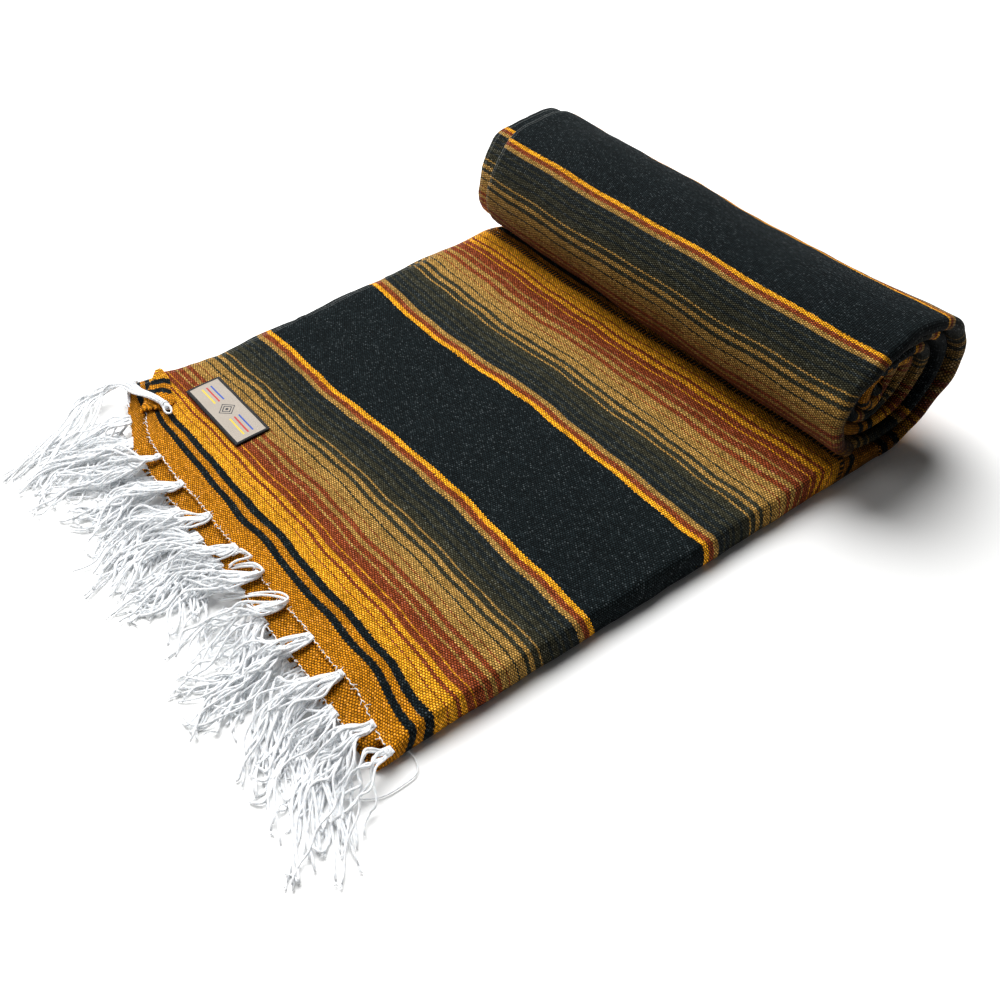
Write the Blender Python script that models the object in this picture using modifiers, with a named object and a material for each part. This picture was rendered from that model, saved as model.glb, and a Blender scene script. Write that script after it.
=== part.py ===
# A Mexican serape blanket: folded in four along its length into a strip, laid flat at the fringed end
# and rolled up at the other. Metres, +Z up. X is the weft, Y the warp: the fringe is at -Y, the roll at
# +Y, the double fold at +X and the selvedges at -X. The origin is under the middle of its box.
import math

import bmesh
import bpy
from mathutils import Vector

# The strip.
HALF_WIDTH = 0.190  # a quarter of a 1.52 m blanket, halved
FLAT_THICKNESS = 0.018  # four plies lying loose
ROLLED_THICKNESS = 0.010  # four plies pressed by the roll
CLOTH = 0.003  # one ply, as a wall
TURNED_CLOTH = 0.002  # the turned-back corner's, whose bend is tight
GAP = 0.0003  # between pieces that touch
STRIP_X = -0.0043  # the strip's middle line
FRINGE_Y = -0.16705  # the edge of the top ply, before its fringe
NIP_Y = 0.318  # from that edge to where the roll presses on the strip
LOWER_STEP_FAR = 0.009  # how far the lower plies stick out past the top one, at -X
LOWER_STEP_NEAR = 0.016  # and at +X
SELVEDGE_STEP = 0.009  # how far the second ply's selvedge sticks out past the top one's
FAR_FOLD_RADIUS = 0.0045
BAND_TOP = 0.0125  # height of the second ply at the fringed end

# The turned-back corner: how much of each edge it takes up.
CORNER_ON_SELVEDGE = 0.049
CORNER_ON_FRINGE = 0.027

# The roll, at its left (-X) and right (+X) ends. It stands a little askew and is a little thicker at +X.
ROLL_ENDS = {
    "left": {"x": -0.189, "centre": 0.3652, "radius": 0.0558},
    "right": {"x": 0.190, "centre": 0.3573, "radius": 0.0585},
}
ROLL_FLATTENING = 0.03  # wider than a circle by this share, and lower by as much
ROLL_WALK = 0.020  # how far the outer turn has walked to +X by the top of the roll
TURN_START = 0.006  # radians: the outer turn begins just past the flat strip's end
TURN_END = math.radians(318)  # and goes down into the nip here
ROLL_FOLD_RADIUS = 0.0050
LEFT_PLY_STEP = 0.011  # the second ply sticks out past the outer turn's selvedge

LABEL = {"x": -0.1227, "y": 0.0564, "length": 0.079, "width": 0.0255, "thickness": 0.0012}

# Where the fringe reaches, from -X to +X: distance across, and how far its tips lie past the top edge.
FRINGE_REACH = (
    {"x": -0.186, "reach": 0.056},
    {"x": -0.175, "reach": 0.086},
    {"x": -0.150, "reach": 0.080},
    {"x": -0.128, "reach": 0.086},
    {"x": -0.100, "reach": 0.072},
    {"x": -0.070, "reach": 0.080},
    {"x": -0.035, "reach": 0.074},
    {"x": -0.005, "reach": 0.084},
    {"x": 0.030, "reach": 0.072},
    {"x": 0.060, "reach": 0.078},
    {"x": 0.090, "reach": 0.070},
    {"x": 0.125, "reach": 0.082},
    {"x": 0.160, "reach": 0.076},
    {"x": 0.176, "reach": 0.078},
    {"x": 0.184, "reach": 0.078},
    {"x": 0.212, "reach": 0.068},
    {"x": 0.224, "reach": 0.050},
)

CORE_START = 0.05  # radians: the hidden turns begin just past the bottom
CORE_END_MARGIN = 0.02  # and stop this much short of the outer ply's end
CORE_CLEARANCE = 0.0012  # above the strip that they rest on

TURN_STATIONS = 44  # round the roll
FOLD_STATIONS = 7  # round each folded edge
RIDGES = 4  # plies that show at each end of the roll's hidden turns


def material(name, colour, roughness):
    made = bpy.data.materials.new(name)
    made.use_nodes = True
    shader = made.node_tree.nodes["Principled BSDF"]
    shader.inputs["Base Color"].default_value = (*colour, 1.0)
    shader.inputs["Roughness"].default_value = roughness
    shader.inputs["Metallic"].default_value = 0.0
    return made


def clear_scene():
    for obj in list(bpy.data.objects):
        bpy.data.objects.remove(obj)
    for group in list(bpy.data.collections):
        bpy.data.collections.remove(group)


def add_object(name, build, finish):
    """A mesh object made by build(bm), smooth, in the serape's collection."""
    bm = bmesh.new()
    build(bm)
    if all(len(edge.link_faces) == 2 for edge in bm.edges):
        bmesh.ops.recalc_face_normals(bm, faces=bm.faces)
    mesh = bpy.data.meshes.new(name)
    bm.to_mesh(mesh)
    bm.free()
    mesh.materials.append(finish)
    mesh.shade_smooth()
    mesh.set_sharp_from_angle(angle=math.radians(40))
    obj = bpy.data.objects.new(name, mesh)
    bpy.data.collections["mexican_serape"].objects.link(obj)
    return obj


def loft(bm, rows, around=False):
    """Quads between rows of points. With around, each row is a closed ring."""
    made = [[bm.verts.new(point) for point in row] for row in rows]
    for lower, upper in zip(made, made[1:]):
        last = len(lower) if around else len(lower) - 1
        for i in range(last):
            j = (i + 1) % len(lower)
            bm.faces.new((lower[i], lower[j], upper[j], upper[i]))
    return made


def solidify(obj, thickness, even=True):
    shell = obj.modifiers.new("cloth", "SOLIDIFY")
    shell.thickness = thickness
    shell.offset = -1
    shell.use_even_offset = even


def mix(a, b, share):
    return a + (b - a) * share


def share_across(x):
    """0 at the roll's left end and 1 at its right, for a distance from the strip's middle."""
    left = ROLL_ENDS["left"]["x"]
    return (x - left) / (ROLL_ENDS["right"]["x"] - left)


def roll_size(share):
    """Centre along the strip and radius of the roll, at a share of its length."""
    left, right = ROLL_ENDS["left"], ROLL_ENDS["right"]
    return mix(left["centre"], right["centre"], share), mix(left["radius"], right["radius"], share)


def turn_point(share, angle, inset=0.0, x_shift=0.0):
    """A point of the outer turn. The angle runs from straight down towards +Y, up and over."""
    centre, radius = roll_size(share)
    rho = radius - ROLLED_THICKNESS * angle / (2 * math.pi) - inset
    x = mix(ROLL_ENDS["left"]["x"], ROLL_ENDS["right"]["x"], share) + x_shift
    x += ROLL_WALK * (1 - math.cos(angle)) / 2
    y = centre + rho * math.sin(angle) * (1 + ROLL_FLATTENING)
    z = (radius - rho * math.cos(angle)) * (1 - ROLL_FLATTENING)
    z += inset * ROLL_FLATTENING * max(0.0, math.cos(angle))
    return Vector((STRIP_X + x, FRINGE_Y + y, z))


def thickness_at(y):
    """Thickness of the flat strip: full up to the nip, then pressed down under the roll."""
    if y <= NIP_Y:
        return FLAT_THICKNESS
    centre = roll_size(0.5)[0]
    share = min(1.0, (y - NIP_Y) / (centre - NIP_Y))
    eased = share * share * (3 - 2 * share)
    return mix(FLAT_THICKNESS, ROLLED_THICKNESS, eased)


def lower_step(x):
    """How far the lower plies stick out at the fringed end."""
    return mix(LOWER_STEP_FAR, LOWER_STEP_NEAR, (x + HALF_WIDTH) / (2 * HALF_WIDTH))


def under_roll():
    """Stations along the strip where the roll presses on it. 1.0 stands for the strip's own end."""
    return (NIP_Y, 0.328, 0.338, 0.348, 1.0)


def ply_section(y):
    """The outer ply across the strip: top selvedge, near fold, underside, far fold. Rows of x and z."""
    height = thickness_at(y)
    half_height = height / 2
    cut = max(0.0, 1 - y / CORNER_ON_SELVEDGE) * CORNER_ON_FRINGE
    start = -HALF_WIDTH + cut
    crest = HALF_WIDTH - half_height
    points = [(mix(start, crest, i / 8), height) for i in range(9)]
    for i in range(1, FOLD_STATIONS + 1):
        angle = math.pi / 2 - math.pi * i / (FOLD_STATIONS + 1)
        points.append((crest + half_height * math.cos(angle), half_height * (1 + math.sin(angle))))
    far_radius = min(FAR_FOLD_RADIUS, height / 4)
    turn = -HALF_WIDTH + far_radius
    points += [(mix(crest, turn, i / 8), 0.0) for i in range(9)]
    for i in range(1, FOLD_STATIONS + 1):
        angle = -math.pi / 2 - math.pi * i / (FOLD_STATIONS + 1)
        points.append((turn + far_radius * math.cos(angle), far_radius * (1 + math.sin(angle))))
    points.append((turn, 2 * far_radius))
    points.append((turn + 0.012, 2 * far_radius))
    return points


def strip_place(x, y, z, start_step, end_gap):
    """Puts a section's point at a station: the fringed end is stepped, the other meets the roll."""
    end = roll_size(share_across(x))[0] - end_gap
    along = y if y < 1.0 else end
    if y == 0.0:
        along -= start_step
    return Vector((STRIP_X + x, FRINGE_Y + min(along, end), z))


def build_flat_outer_ply(bm):
    rows = []
    at_corner = tuple(CORNER_ON_SELVEDGE * i / 4 for i in range(5))
    for station in at_corner + (0.10, 0.17, 0.24, 0.29) + under_roll():
        y = min(station, roll_size(0.5)[0])
        row = []
        for x, z in ply_section(y):
            below = 1 - z / FLAT_THICKNESS
            row.append(strip_place(x, station, z, lower_step(x) * below, GAP))
        rows.append(row)
    loft(bm, rows)


def inner_section(top, y):
    """The hidden plies across the strip, one rounded solid with a groove between plies at each edge."""
    bottom = CLOTH + GAP
    scale = thickness_at(y) / FLAT_THICKNESS
    top = min(top, thickness_at(y) - CLOTH - GAP)
    far_top = 2 * min(FAR_FOLD_RADIUS, thickness_at(y) / 4) + GAP
    inside = HALF_WIDTH - CLOTH - 0.0025
    selvedge = -HALF_WIDTH - SELVEDGE_STEP
    fold_inside = -HALF_WIDTH + 0.020
    middle = (far_top + top) / 2
    table = (
        (fold_inside, bottom),
        (0.0, bottom),
        (inside - 0.006 * scale, bottom),
        (inside - 0.0025 * scale, mix(bottom, top, 0.22)),
        (inside - 0.0040 * scale, mix(bottom, top, 0.50)),
        (inside - 0.0025 * scale, mix(bottom, top, 0.78)),
        (inside - 0.006 * scale, top),
        (0.0, top),
        (selvedge + 0.030, top),
        (selvedge + 0.001, top - 0.0004),
        (selvedge, mix(top, middle, 0.5)),
        (selvedge + 0.002, middle),
        (selvedge + 0.001, far_top + 0.0002),
        (fold_inside, far_top),
    )
    return table


def build_flat_inner_plies(bm):
    rows = []
    band_end = 0.008
    for station in (-1.0, -0.5, 0.0, band_end, 0.10, 0.20, 0.29) + under_roll():
        y = min(max(station, 0.0), roll_size(0.5)[0])
        top = BAND_TOP if station <= 0.0 else FLAT_THICKNESS - CLOTH - GAP
        if station == band_end:
            top = BAND_TOP + 0.0008
        row = []
        for x, z in inner_section(top, y):
            if station < 0.0:
                # The edges of the second and third plies, rounded off.
                along = -lower_step(x) * (1.0 if station == -1.0 else 0.95)
                squeeze = 0.8 if station == -1.0 else 1.0
                middle = (CLOTH + BAND_TOP) / 2
                place = Vector((STRIP_X + x, FRINGE_Y + along, middle + (z - middle) * squeeze))
            else:
                place = strip_place(x, station, z, 0.0, 2 * GAP)
            row.append(place)
        rows.append(row)
    made = loft(bm, rows, around=True)
    bm.faces.new(made[0][::-1])
    bm.faces.new(made[-1])


def build_roll_outer_turn(bm):
    """The outer ply round the roll: its selvedge at -X, its folded edge turned in at +X."""
    rows = []
    length = ROLL_ENDS["right"]["x"] - ROLL_ENDS["left"]["x"]
    fold_share = 1 - ROLL_FOLD_RADIUS / length
    for i in range(TURN_STATIONS + 1):
        angle = mix(TURN_START, TURN_END, i / TURN_STATIONS)
        row = []
        for k in range(7):
            row.append(turn_point(fold_share * k / 6, angle))
        for k in range(1, FOLD_STATIONS + 1):
            bend = math.pi * 0.75 * k / FOLD_STATIONS
            out = ROLL_FOLD_RADIUS * math.sin(bend)
            row.append(turn_point(fold_share, angle, ROLL_FOLD_RADIUS * (1 - math.cos(bend)), out))
        rows.append(row[::-1])
    loft(bm, rows)


def core_outline(share, depth):
    """Outline of the hidden turns: inside the outer ply, then back along the top of the strip."""
    centre = roll_size(share)[0]
    points = []
    for i in range(TURN_STATIONS + 1):
        angle = mix(CORE_START, TURN_END - CORE_END_MARGIN, i / TURN_STATIONS)
        points.append(turn_point(share, angle, depth))
    x = STRIP_X + mix(ROLL_ENDS["left"]["x"], ROLL_ENDS["right"]["x"], share)
    nip = points[-1]
    for part in (0.75, 0.40, 0.12, -0.03):
        y = mix(centre, nip.y - FRINGE_Y, part)
        height = thickness_at(y) + CORE_CLEARANCE
        points.append(Vector((x, FRINGE_Y + y, max(height, mix(height, nip.z, part - 0.4)))))
    return points


def build_roll_hidden_turns(bm):
    """The hidden turns: one rounded solid, with the edges of its plies as ridges at both ends."""
    depth = CLOTH + GAP
    pitch = 1 / (RIDGES + 0.4)
    # Each ridge's outer edge, inner edge and the groove beside it: share of the radius, and place in X.
    stations = []
    for ridge in range(RIDGES):
        outer = 1 - ridge * pitch
        inner = outer - 0.55 * pitch
        lift = LEFT_PLY_STEP if ridge == 0 else LEFT_PLY_STEP * 0.35
        stations.append({"scale": outer - 0.03, "left": -lift, "right": -0.0125})
        stations.append({"scale": inner, "left": -lift + 0.0005, "right": -0.0120})
        stations.append({"scale": inner - 0.10, "left": 0.006, "right": -0.0180})
    length = ROLL_ENDS["right"]["x"] - ROLL_ENDS["left"]["x"]

    def ring(share, scale, shift):
        centre, radius = roll_size(share)
        outline = core_outline(share, depth)
        middle_y = FRINGE_Y + centre
        middle_z = radius * (1 - ROLL_FLATTENING)
        points = []
        for point in outline:
            y = middle_y + (point.y - middle_y) * scale
            z = middle_z + (point.z - middle_z) * scale
            points.append(Vector((point.x + shift, y, z)))
        return points

    rows = []
    for station in reversed(stations):
        rows.append(ring(0.0, station["scale"], station["left"]))
    rows.append(ring(0.0, 1.0, -LEFT_PLY_STEP + 0.003))
    for share in (0.12, 0.5, 0.88):
        rows.append(ring(share, 1.0, 0.0))
    rows.append(ring(1 - 0.0150 / length, 1.0, 0.0))
    for station in stations:
        rows.append(ring(1.0, station["scale"], station["right"]))
    made = loft(bm, [row[::-1] for row in rows], around=True)
    for row, flip in ((made[0], True), (made[-1], False)):
        middle = sum((vert.co for vert in row), Vector()) / len(row)
        hub = bm.verts.new(middle)
        for i, vert in enumerate(row):
            after = row[(i + 1) % len(row)]
            bm.faces.new((after, vert, hub) if flip else (vert, after, hub))


def build_label_patch(bm):
    """The patch follows the top ply, a gap above it."""
    rows = []
    for j in range(4):
        y = LABEL["y"] + LABEL["width"] * (j / 3 - 0.5)
        row = []
        for i in range(7):
            x = LABEL["x"] + LABEL["length"] * (i / 6 - 0.5)
            z = thickness_at(y) + GAP + LABEL["thickness"]
            row.append(Vector((STRIP_X + x, FRINGE_Y + y, z)))
        rows.append(row)
    loft(bm, rows)


def corner_points():
    """The crease's two ends and the place of the turned corner, across and along the strip."""
    on_selvedge = Vector((-HALF_WIDTH, CORNER_ON_SELVEDGE))
    on_fringe = Vector((-HALF_WIDTH + CORNER_ON_FRINGE, 0.0))
    corner = Vector((-HALF_WIDTH, 0.0))
    crease = (on_fringe - on_selvedge).normalized()
    foot = on_selvedge + crease * (corner - on_selvedge).dot(crease)
    return on_selvedge, on_fringe, foot * 2 - corner


def build_corner_turn_back(bm):
    """The corner, turned over on its crease: a bent edge, then the cloth lying on the top ply."""
    on_selvedge, on_fringe, tip = corner_points()
    along = (on_fringe - on_selvedge).normalized()
    out = Vector((along.y, -along.x))
    if out.x > 0:
        out = -out
    low, high = FLAT_THICKNESS - CLOTH, FLAT_THICKNESS + GAP + TURNED_CLOTH
    middle, radius = (low + high) / 2, (high - low) / 2
    rows = []
    for bend in (0.30, 0.5, 0.7, 0.85):
        angle = math.pi * bend
        push = radius * math.sin(angle) + 2 * GAP
        z = middle - radius * math.cos(angle)
        row = []
        for i in range(7):
            base = on_selvedge + (on_fringe - on_selvedge) * (0.04 + 0.92 * i / 6)
            spot = base + out * push
            row.append(Vector((STRIP_X + spot.x, FRINGE_Y + spot.y, z)))
        rows.append(row)
    for share in (0.12, 0.4, 0.65, 0.86):
        row = []
        for i in range(7):
            base = on_selvedge + (on_fringe - on_selvedge) * (0.04 + 0.92 * i / 6)
            spot = base + (tip - base) * share
            row.append(Vector((STRIP_X + spot.x, FRINGE_Y + spot.y, high)))
        rows.append(row)
    loft(bm, rows)


def fringe_section(x, reach):
    """The fringe's reach at one place: over the lower plies' band, then down to the floor."""
    inner = lower_step(max(-HALF_WIDTH, min(HALF_WIDTH, x))) + 2 * GAP
    past_fold = x > HALF_WIDTH - 0.010
    start = inner - GAP if past_fold else 0.0012
    band = BAND_TOP + GAP
    return (
        (-start, band),
        (-inner, band),
        (-inner - 0.0002, 0.0005),
        (-inner - 0.010, 0.0),
        (-reach + 0.004, 0.0),
        (-reach, 0.0015),
        (-mix(inner, reach, 0.75), 0.0060),
        (-mix(inner, reach, 0.35), 0.0105),
        (-inner - 0.0002, BAND_TOP + 0.0045),
        (-start - 0.0002, BAND_TOP + 0.0052),
    )


def build_fringe(bm):
    rows = []
    for row in FRINGE_REACH:
        places = []
        for y, z in fringe_section(row["x"], row["reach"]):
            places.append(Vector((STRIP_X + row["x"], FRINGE_Y + y, z)))
        rows.append(places)
    made = loft(bm, rows, around=True)
    bm.faces.new(made[0][::-1])
    bm.faces.new(made[-1])


def build_corner_tassel():
    """The turned corner's own tassel, lying over the flap and down past the far corner."""
    tip = corner_points()[2]
    route = (
        (tip.x + 0.004, tip.y + 0.001, 0.0252),
        (tip.x - 0.014, tip.y - 0.003, 0.0256),
        (tip.x - 0.032, tip.y - 0.004, 0.0252),
        (tip.x - 0.050, tip.y - 0.006, 0.0215),
        (tip.x - 0.061, tip.y - 0.016, 0.0130),
        (tip.x - 0.063, tip.y - 0.034, 0.0060),
        (tip.x - 0.057, tip.y - 0.058, 0.0045),
    )
    curve = bpy.data.curves.new("corner_tassel_route", "CURVE")
    curve.dimensions = "3D"
    curve.bevel_depth = 0.0040
    curve.bevel_resolution = 2
    curve.use_fill_caps = True
    spline = curve.splines.new("POLY")
    spline.points.add(len(route) - 1)
    for point, (x, y, z) in zip(spline.points, route):
        point.co = (STRIP_X + x, FRINGE_Y + y, z, 1.0)
    return curve


def main():
    clear_scene()
    group = bpy.data.collections.new("mexican_serape")
    bpy.context.scene.collection.children.link(group)

    mustard = material("weft_mustard", (0.56, 0.20, 0.005), 0.9)
    charcoal = material("weft_charcoal", (0.012, 0.015, 0.017), 0.9)
    rust = material("weft_rust", (0.20, 0.028, 0.006), 0.9)
    golden = material("weft_golden", (0.80, 0.33, 0.015), 0.9)
    cotton = material("fringe_cotton", (0.80, 0.83, 0.86), 0.8)
    label = material("label_weave", (0.62, 0.58, 0.49), 0.7)

    solidify(add_object("flat_outer_ply", build_flat_outer_ply, charcoal), CLOTH)
    add_object("flat_inner_plies", build_flat_inner_plies, mustard)
    solidify(add_object("roll_outer_turn", build_roll_outer_turn, golden), CLOTH)
    add_object("roll_hidden_turns", build_roll_hidden_turns, rust)
    solidify(add_object("corner_turn_back", build_corner_turn_back, mustard), TURNED_CLOTH, even=False)
    solidify(add_object("label_patch", build_label_patch, label), LABEL["thickness"])
    add_object("fringe", build_fringe, cotton)
    curve = build_corner_tassel()
    curve.materials.append(cotton)
    group.objects.link(bpy.data.objects.new("corner_tassel", curve))


main()
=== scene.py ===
# A Mexican serape blanket, folded in four along its length and rolled up from one end.
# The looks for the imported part: striped acrylic weave, knotted white cotton fringe and a sewn label.
import math
import random

import bpy
import numpy as np
from mathutils import Matrix, Vector


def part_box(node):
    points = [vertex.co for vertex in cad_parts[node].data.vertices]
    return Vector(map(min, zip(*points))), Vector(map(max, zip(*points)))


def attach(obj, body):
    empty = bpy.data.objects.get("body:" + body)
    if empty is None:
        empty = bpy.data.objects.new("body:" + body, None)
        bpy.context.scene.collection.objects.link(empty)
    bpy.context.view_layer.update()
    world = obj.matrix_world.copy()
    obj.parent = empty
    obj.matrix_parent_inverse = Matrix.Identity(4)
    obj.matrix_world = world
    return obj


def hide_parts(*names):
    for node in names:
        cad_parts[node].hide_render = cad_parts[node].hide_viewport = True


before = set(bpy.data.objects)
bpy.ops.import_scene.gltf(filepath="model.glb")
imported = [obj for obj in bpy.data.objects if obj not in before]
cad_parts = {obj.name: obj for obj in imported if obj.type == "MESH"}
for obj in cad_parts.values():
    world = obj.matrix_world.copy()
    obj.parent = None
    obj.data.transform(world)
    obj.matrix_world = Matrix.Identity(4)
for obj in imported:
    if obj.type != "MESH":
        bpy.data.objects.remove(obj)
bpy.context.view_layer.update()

print("serape: frame loaded")

# The strip that the folded blanket makes, in metres. x runs across it, y along it from the top ply's
# fringed edge.
strip = {
    "halfWidth": 0.190,
    "flatThickness": 0.018,
    "rolledThickness": 0.010,
    "cloth": 0.0021,
    "nip": 0.318,  # where the roll starts to press on it
    "lowerStepFar": 0.009,  # how far the lower plies stick out at the fringed end, at -X
    "lowerStepNear": 0.016,  # and at +X
    "selvedgeStep": 0.009,  # the second ply's selvedge past the top one's
    "bandTop": 0.0125,  # height of the second ply at the fringed end
    "farFold": 0.0045,  # radius of the fold at -X
    "nearFold": 0.0055,  # how far the fold at +X reaches past its crest
    "settled": 0.05,  # past here the fringed edges no longer show in how the plies lie
    # waves in the fringed edges of the top ply and of those under it: size in metres, rate and phase
    "topEdgeWaves": ((0.0006, 95, 0.0),),
    "lowerEdgeWaves": ((0.0006, 80, 2.0),),
}

# The far corner is dragged back and out. In mm, but topAcross and topAlong are in metres.
drag = {
    "across": (-199, -190, -180, -170, -160, -150, -140),
    "share": (1.0, 0.66, 0.50, 0.40, 0.30, 0.15, 0.0),
    "along": (-9, 6, 15, 35, 55),
    "lowerBack": (30.5, 17.0, 13.0, 5.0, 0.0),  # how far the lower plies go back there
    "lowerOut": (17.0, 13.0, 11.0, 6.0, 0.0),
    "topAcross": (-0.205, -0.167, -0.154, -0.140, -0.120),
    "topBack": (13.3, 13.3, 8.5, 4.0, 0.0),  # how far the top ply's edge goes back
    "topAlong": (0, 0.008, 0.016, 0.030, 0.050),
    "topShare": (1.0, 0.55, 0.30, 0.15, 0.0),
    "cut": (  # where the top ply's side stands by its turned corner: place along, and across
        (0, -167), (8, -170), (16, -176), (25, -186.4), (37.6, -201.6), (50, -197), (68, -192.4), (88, -190),
    ),
}

plyLow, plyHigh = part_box("flat_outer_ply")
stripX = (plyLow.x + plyHigh.x) / 2
fringeY = plyLow.y + strip["lowerStepNear"]

# The roll at its two ends. It stands a little askew and is a little thicker at +X.
roll = {
    "left": {"x": -0.189, "centre": 0.3652, "radius": 0.0558},
    "right": {"x": 0.190, "centre": 0.3573, "radius": 0.0585},
    "flattening": 0.03,
    "walk": 0.020,  # how far its top leans to +X
    "walkHeld": 1.08,  # over 1, so that the outermost turn keeps its lean
    "start": math.radians(0.4),
    "end": math.radians(322),
    "turns": 5.1,
    "foldRadius": 0.0046,
    # the selvedges at -X: degrees round the roll, the outer turn's place in mm and the second ply's
    "edgeAngles": (20, 60, 90, 120, 136, 150, 165, 180, 195, 207, 224, 243, 256, 276, 300, 322),
    "outerEdge": (0, 1, 1, -1, -2, -4, -3, -0.5, -1.5, 0, 4, 5.5, 5, 4.3, 4, 4),
    "secondEdge": (-8, -8, -10, -16, -20, -19, -16, -14, -15, -18, -14, -11, -9, -10.5, -12, -12),
    # how far the stripes stray back round the roll, in mm, at angles in degrees
    "strayAngles": (0, 60, 105, 148, 178, 205, 330),
    "stray": (0, -0.3, -0.85, -1, -0.55, 0, 0),
    "strayShares": (0, 0.1, 0.3, 0.5, 0.7, 0.9, 1.0),
    "strayBy": (16, 14.5, 17.5, 19, 18.5, 24, 31),
}
rollLength = roll["right"]["x"] - roll["left"]["x"]
rollMiddle = (roll["left"]["centre"] + roll["right"]["centre"]) / 2

# One repeat of the stripes, from the middle of the mustard to the middle of the black band.
# Each band runs up to its distance in mm; the other half of the repeat mirrors it.
stripes = {
    "mirror": 173.0,
    "split": 64.0,  # where the second ramp of colours takes over
    "dashed": {"at": 321.5, "halfWidth": 1.9, "colour": "mustard"},
    "bands": (
        (13.0, "mustard"), (17.5, "black"), (22.0, "mustard"), (27.0, "black"),
        (33.3, "golden"), (34.2, "rust"), (38.8, "golden"), (41.2, "rust"), (44.3, "golden"),
        (48.3, "rust"), (49.3, "golden"), (55.5, "rust"), (57.0, "tan"), (61.0, "rust"),
        (64.0, "tan"), (66.8, "rust"), (71.3, "tan"), (72.3, "rust"), (78.0, "tan"),
        (79.2, "olive"), (84.2, "tan"), (87.0, "olive"), (90.0, "tan"), (94.0, "olive"),
        (95.5, "tan"), (101.0, "olive"), (102.5, "charcoal"), (107.0, "olive"),
        (109.0, "charcoal"), (111.0, "olive"), (115.0, "charcoal"), (116.5, "olive"),
        (121.0, "charcoal"), (124.7, "tan"), (128.5, "rust"), (132.0, "bright"),
        (173.0, "black"),
    ),
    "colours": {
        "mustard": "B0700F",
        "golden": "CA8A1A",
        "bright": "D8941A",
        "rust": "78371A",
        "tan": "957238",
        "olive": "2F2E22",
        "charcoal": "1A1F1F",
        "black": "0F1618",
    },
}

# How far the stripes wander along the strip, in mm, at places across it. The cloth was beaten unevenly.
waver = {
    "across": (-0.20, -0.15, -0.10, -0.05, 0.0, 0.05, 0.12, 0.19),
    "rows": (
        {"at": 0.000, "by": (1.5, 1.5, 1.0, 0.0, 0.0, 0.0, 0.0, -0.5)},
        {"at": 0.060, "by": (-8.0, -5.0, -3.0, -1.5, 0.0, 0.0, 0.0, -1.0)},
        {"at": 0.128, "by": (-7.0, -7.0, -6.5, -4.0, -0.5, 0.0, -1.5, -3.5)},
        {"at": 0.214, "by": (-2.0, -4.0, -6.0, -3.0, 0.5, 0.8, 0.0, 0.0)},
        {"at": 0.270, "by": (-1.0, -2.5, -4.0, -2.5, 0.5, 0.5, 0.0, 0.0)},
        {"at": 0.298, "by": (0.0, 0.0, 0.0, 0.0, 0.8, 2.0, 4.0, 5.0)},
        {"at": 0.322, "by": (0.0, 0.0, 0.0, 0.8, 2.5, 4.5, 7.0, 8.5)},
    ),
}

# Soft creases of the top ply: middle, half length, half width and height in mm, direction in degrees.
creases = (
    {"x": -95, "y": 60, "long": 70, "wide": 16, "high": 0.9, "turn": 12},
    {"x": 30, "y": 92, "long": 85, "wide": 20, "high": -0.8, "turn": -8},
    {"x": 130, "y": 70, "long": 60, "wide": 13, "high": 0.9, "turn": 20},
    {"x": -60, "y": 165, "long": 95, "wide": 24, "high": -0.9, "turn": 5},
    {"x": 80, "y": 190, "long": 80, "wide": 17, "high": 0.8, "turn": -14},
    {"x": -140, "y": 235, "long": 55, "wide": 15, "high": 0.9, "turn": 24},
    {"x": 10, "y": 262, "long": 90, "wide": 19, "high": -0.7, "turn": -6},
    {"x": 140, "y": 255, "long": 50, "wide": 14, "high": 0.8, "turn": 10},
    {"x": 60, "y": 22, "long": 50, "wide": 9, "high": 0.6, "turn": 4},
    {"x": -20, "y": 30, "long": 40, "wide": 10, "high": 0.5, "turn": -10},
)

# How else the top ply's face moves up and down.
relief = {
    "creaseBow": 4,  # mm that a crease bows to either side
    "creaseBowLength": 23,  # mm
    "fine": 0.22,  # mm
    "pressedFrom": 0.29,  # where the roll starts to press it smooth
    "pressedOver": 0.03,
    "fringedDrop": 0.0018,  # how far it sinks towards its fringed edge
    "fringedOver": 0.014,
    "selvedgeDrop": 0.0012,  # and towards its selvedge
    "selvedgeOver": 0.012,
    "cornerDrop": 0.0045,  # its near corner droops
    "cornerFrom": 0.135,
    "cornerOver": (0.05, 0.045),  # across the strip and along it
    "cornerReach": 0.005,  # how far the drooping edge comes forward
    "cornerReachFrom": 0.14,
    "cornerReachOver": 0.045,
}


def linear(hexColour):
    # sRGB hex to a linear colour with alpha
    parts = [int(hexColour[i:i + 2], 16) / 255 for i in (0, 2, 4)]
    return (*[c / 12.92 if c <= 0.04045 else ((c + 0.055) / 1.055) ** 2.4 for c in parts], 1.0)


def mix(a, b, share):
    return a + (b - a) * share


def ease(share):
    held = np.clip(share, 0.0, 1.0)
    return held * held * (3 - 2 * held)


def ripple(at, waves):
    return sum(size * np.sin(at * rate + phase) for size, rate, phase in waves)


def place(x, y, z):
    # strip coordinates to the part's frame
    x, y, z = np.broadcast_arrays(x, y, z)
    return np.stack([stripX + x, fringeY + y, z], axis=-1)


def smoothTable(at, xs, ys):
    # an eased curve through a few points, flat past its ends
    at = np.asarray(at, float)
    xs, ys = np.asarray(xs, float), np.asarray(ys, float)
    slopes = np.gradient(ys, xs)
    held = np.clip(at, xs[0], xs[-1])
    i = np.clip(np.searchsorted(xs, held) - 1, 0, len(xs) - 2)
    width = xs[i + 1] - xs[i]
    t = (held - xs[i]) / width
    return (
        ys[i] * (1 + 2 * t) * (1 - t) ** 2 + ys[i + 1] * t * t * (3 - 2 * t)
        + slopes[i] * width * t * (1 - t) ** 2 + slopes[i + 1] * width * t * t * (t - 1)
    )


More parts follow.
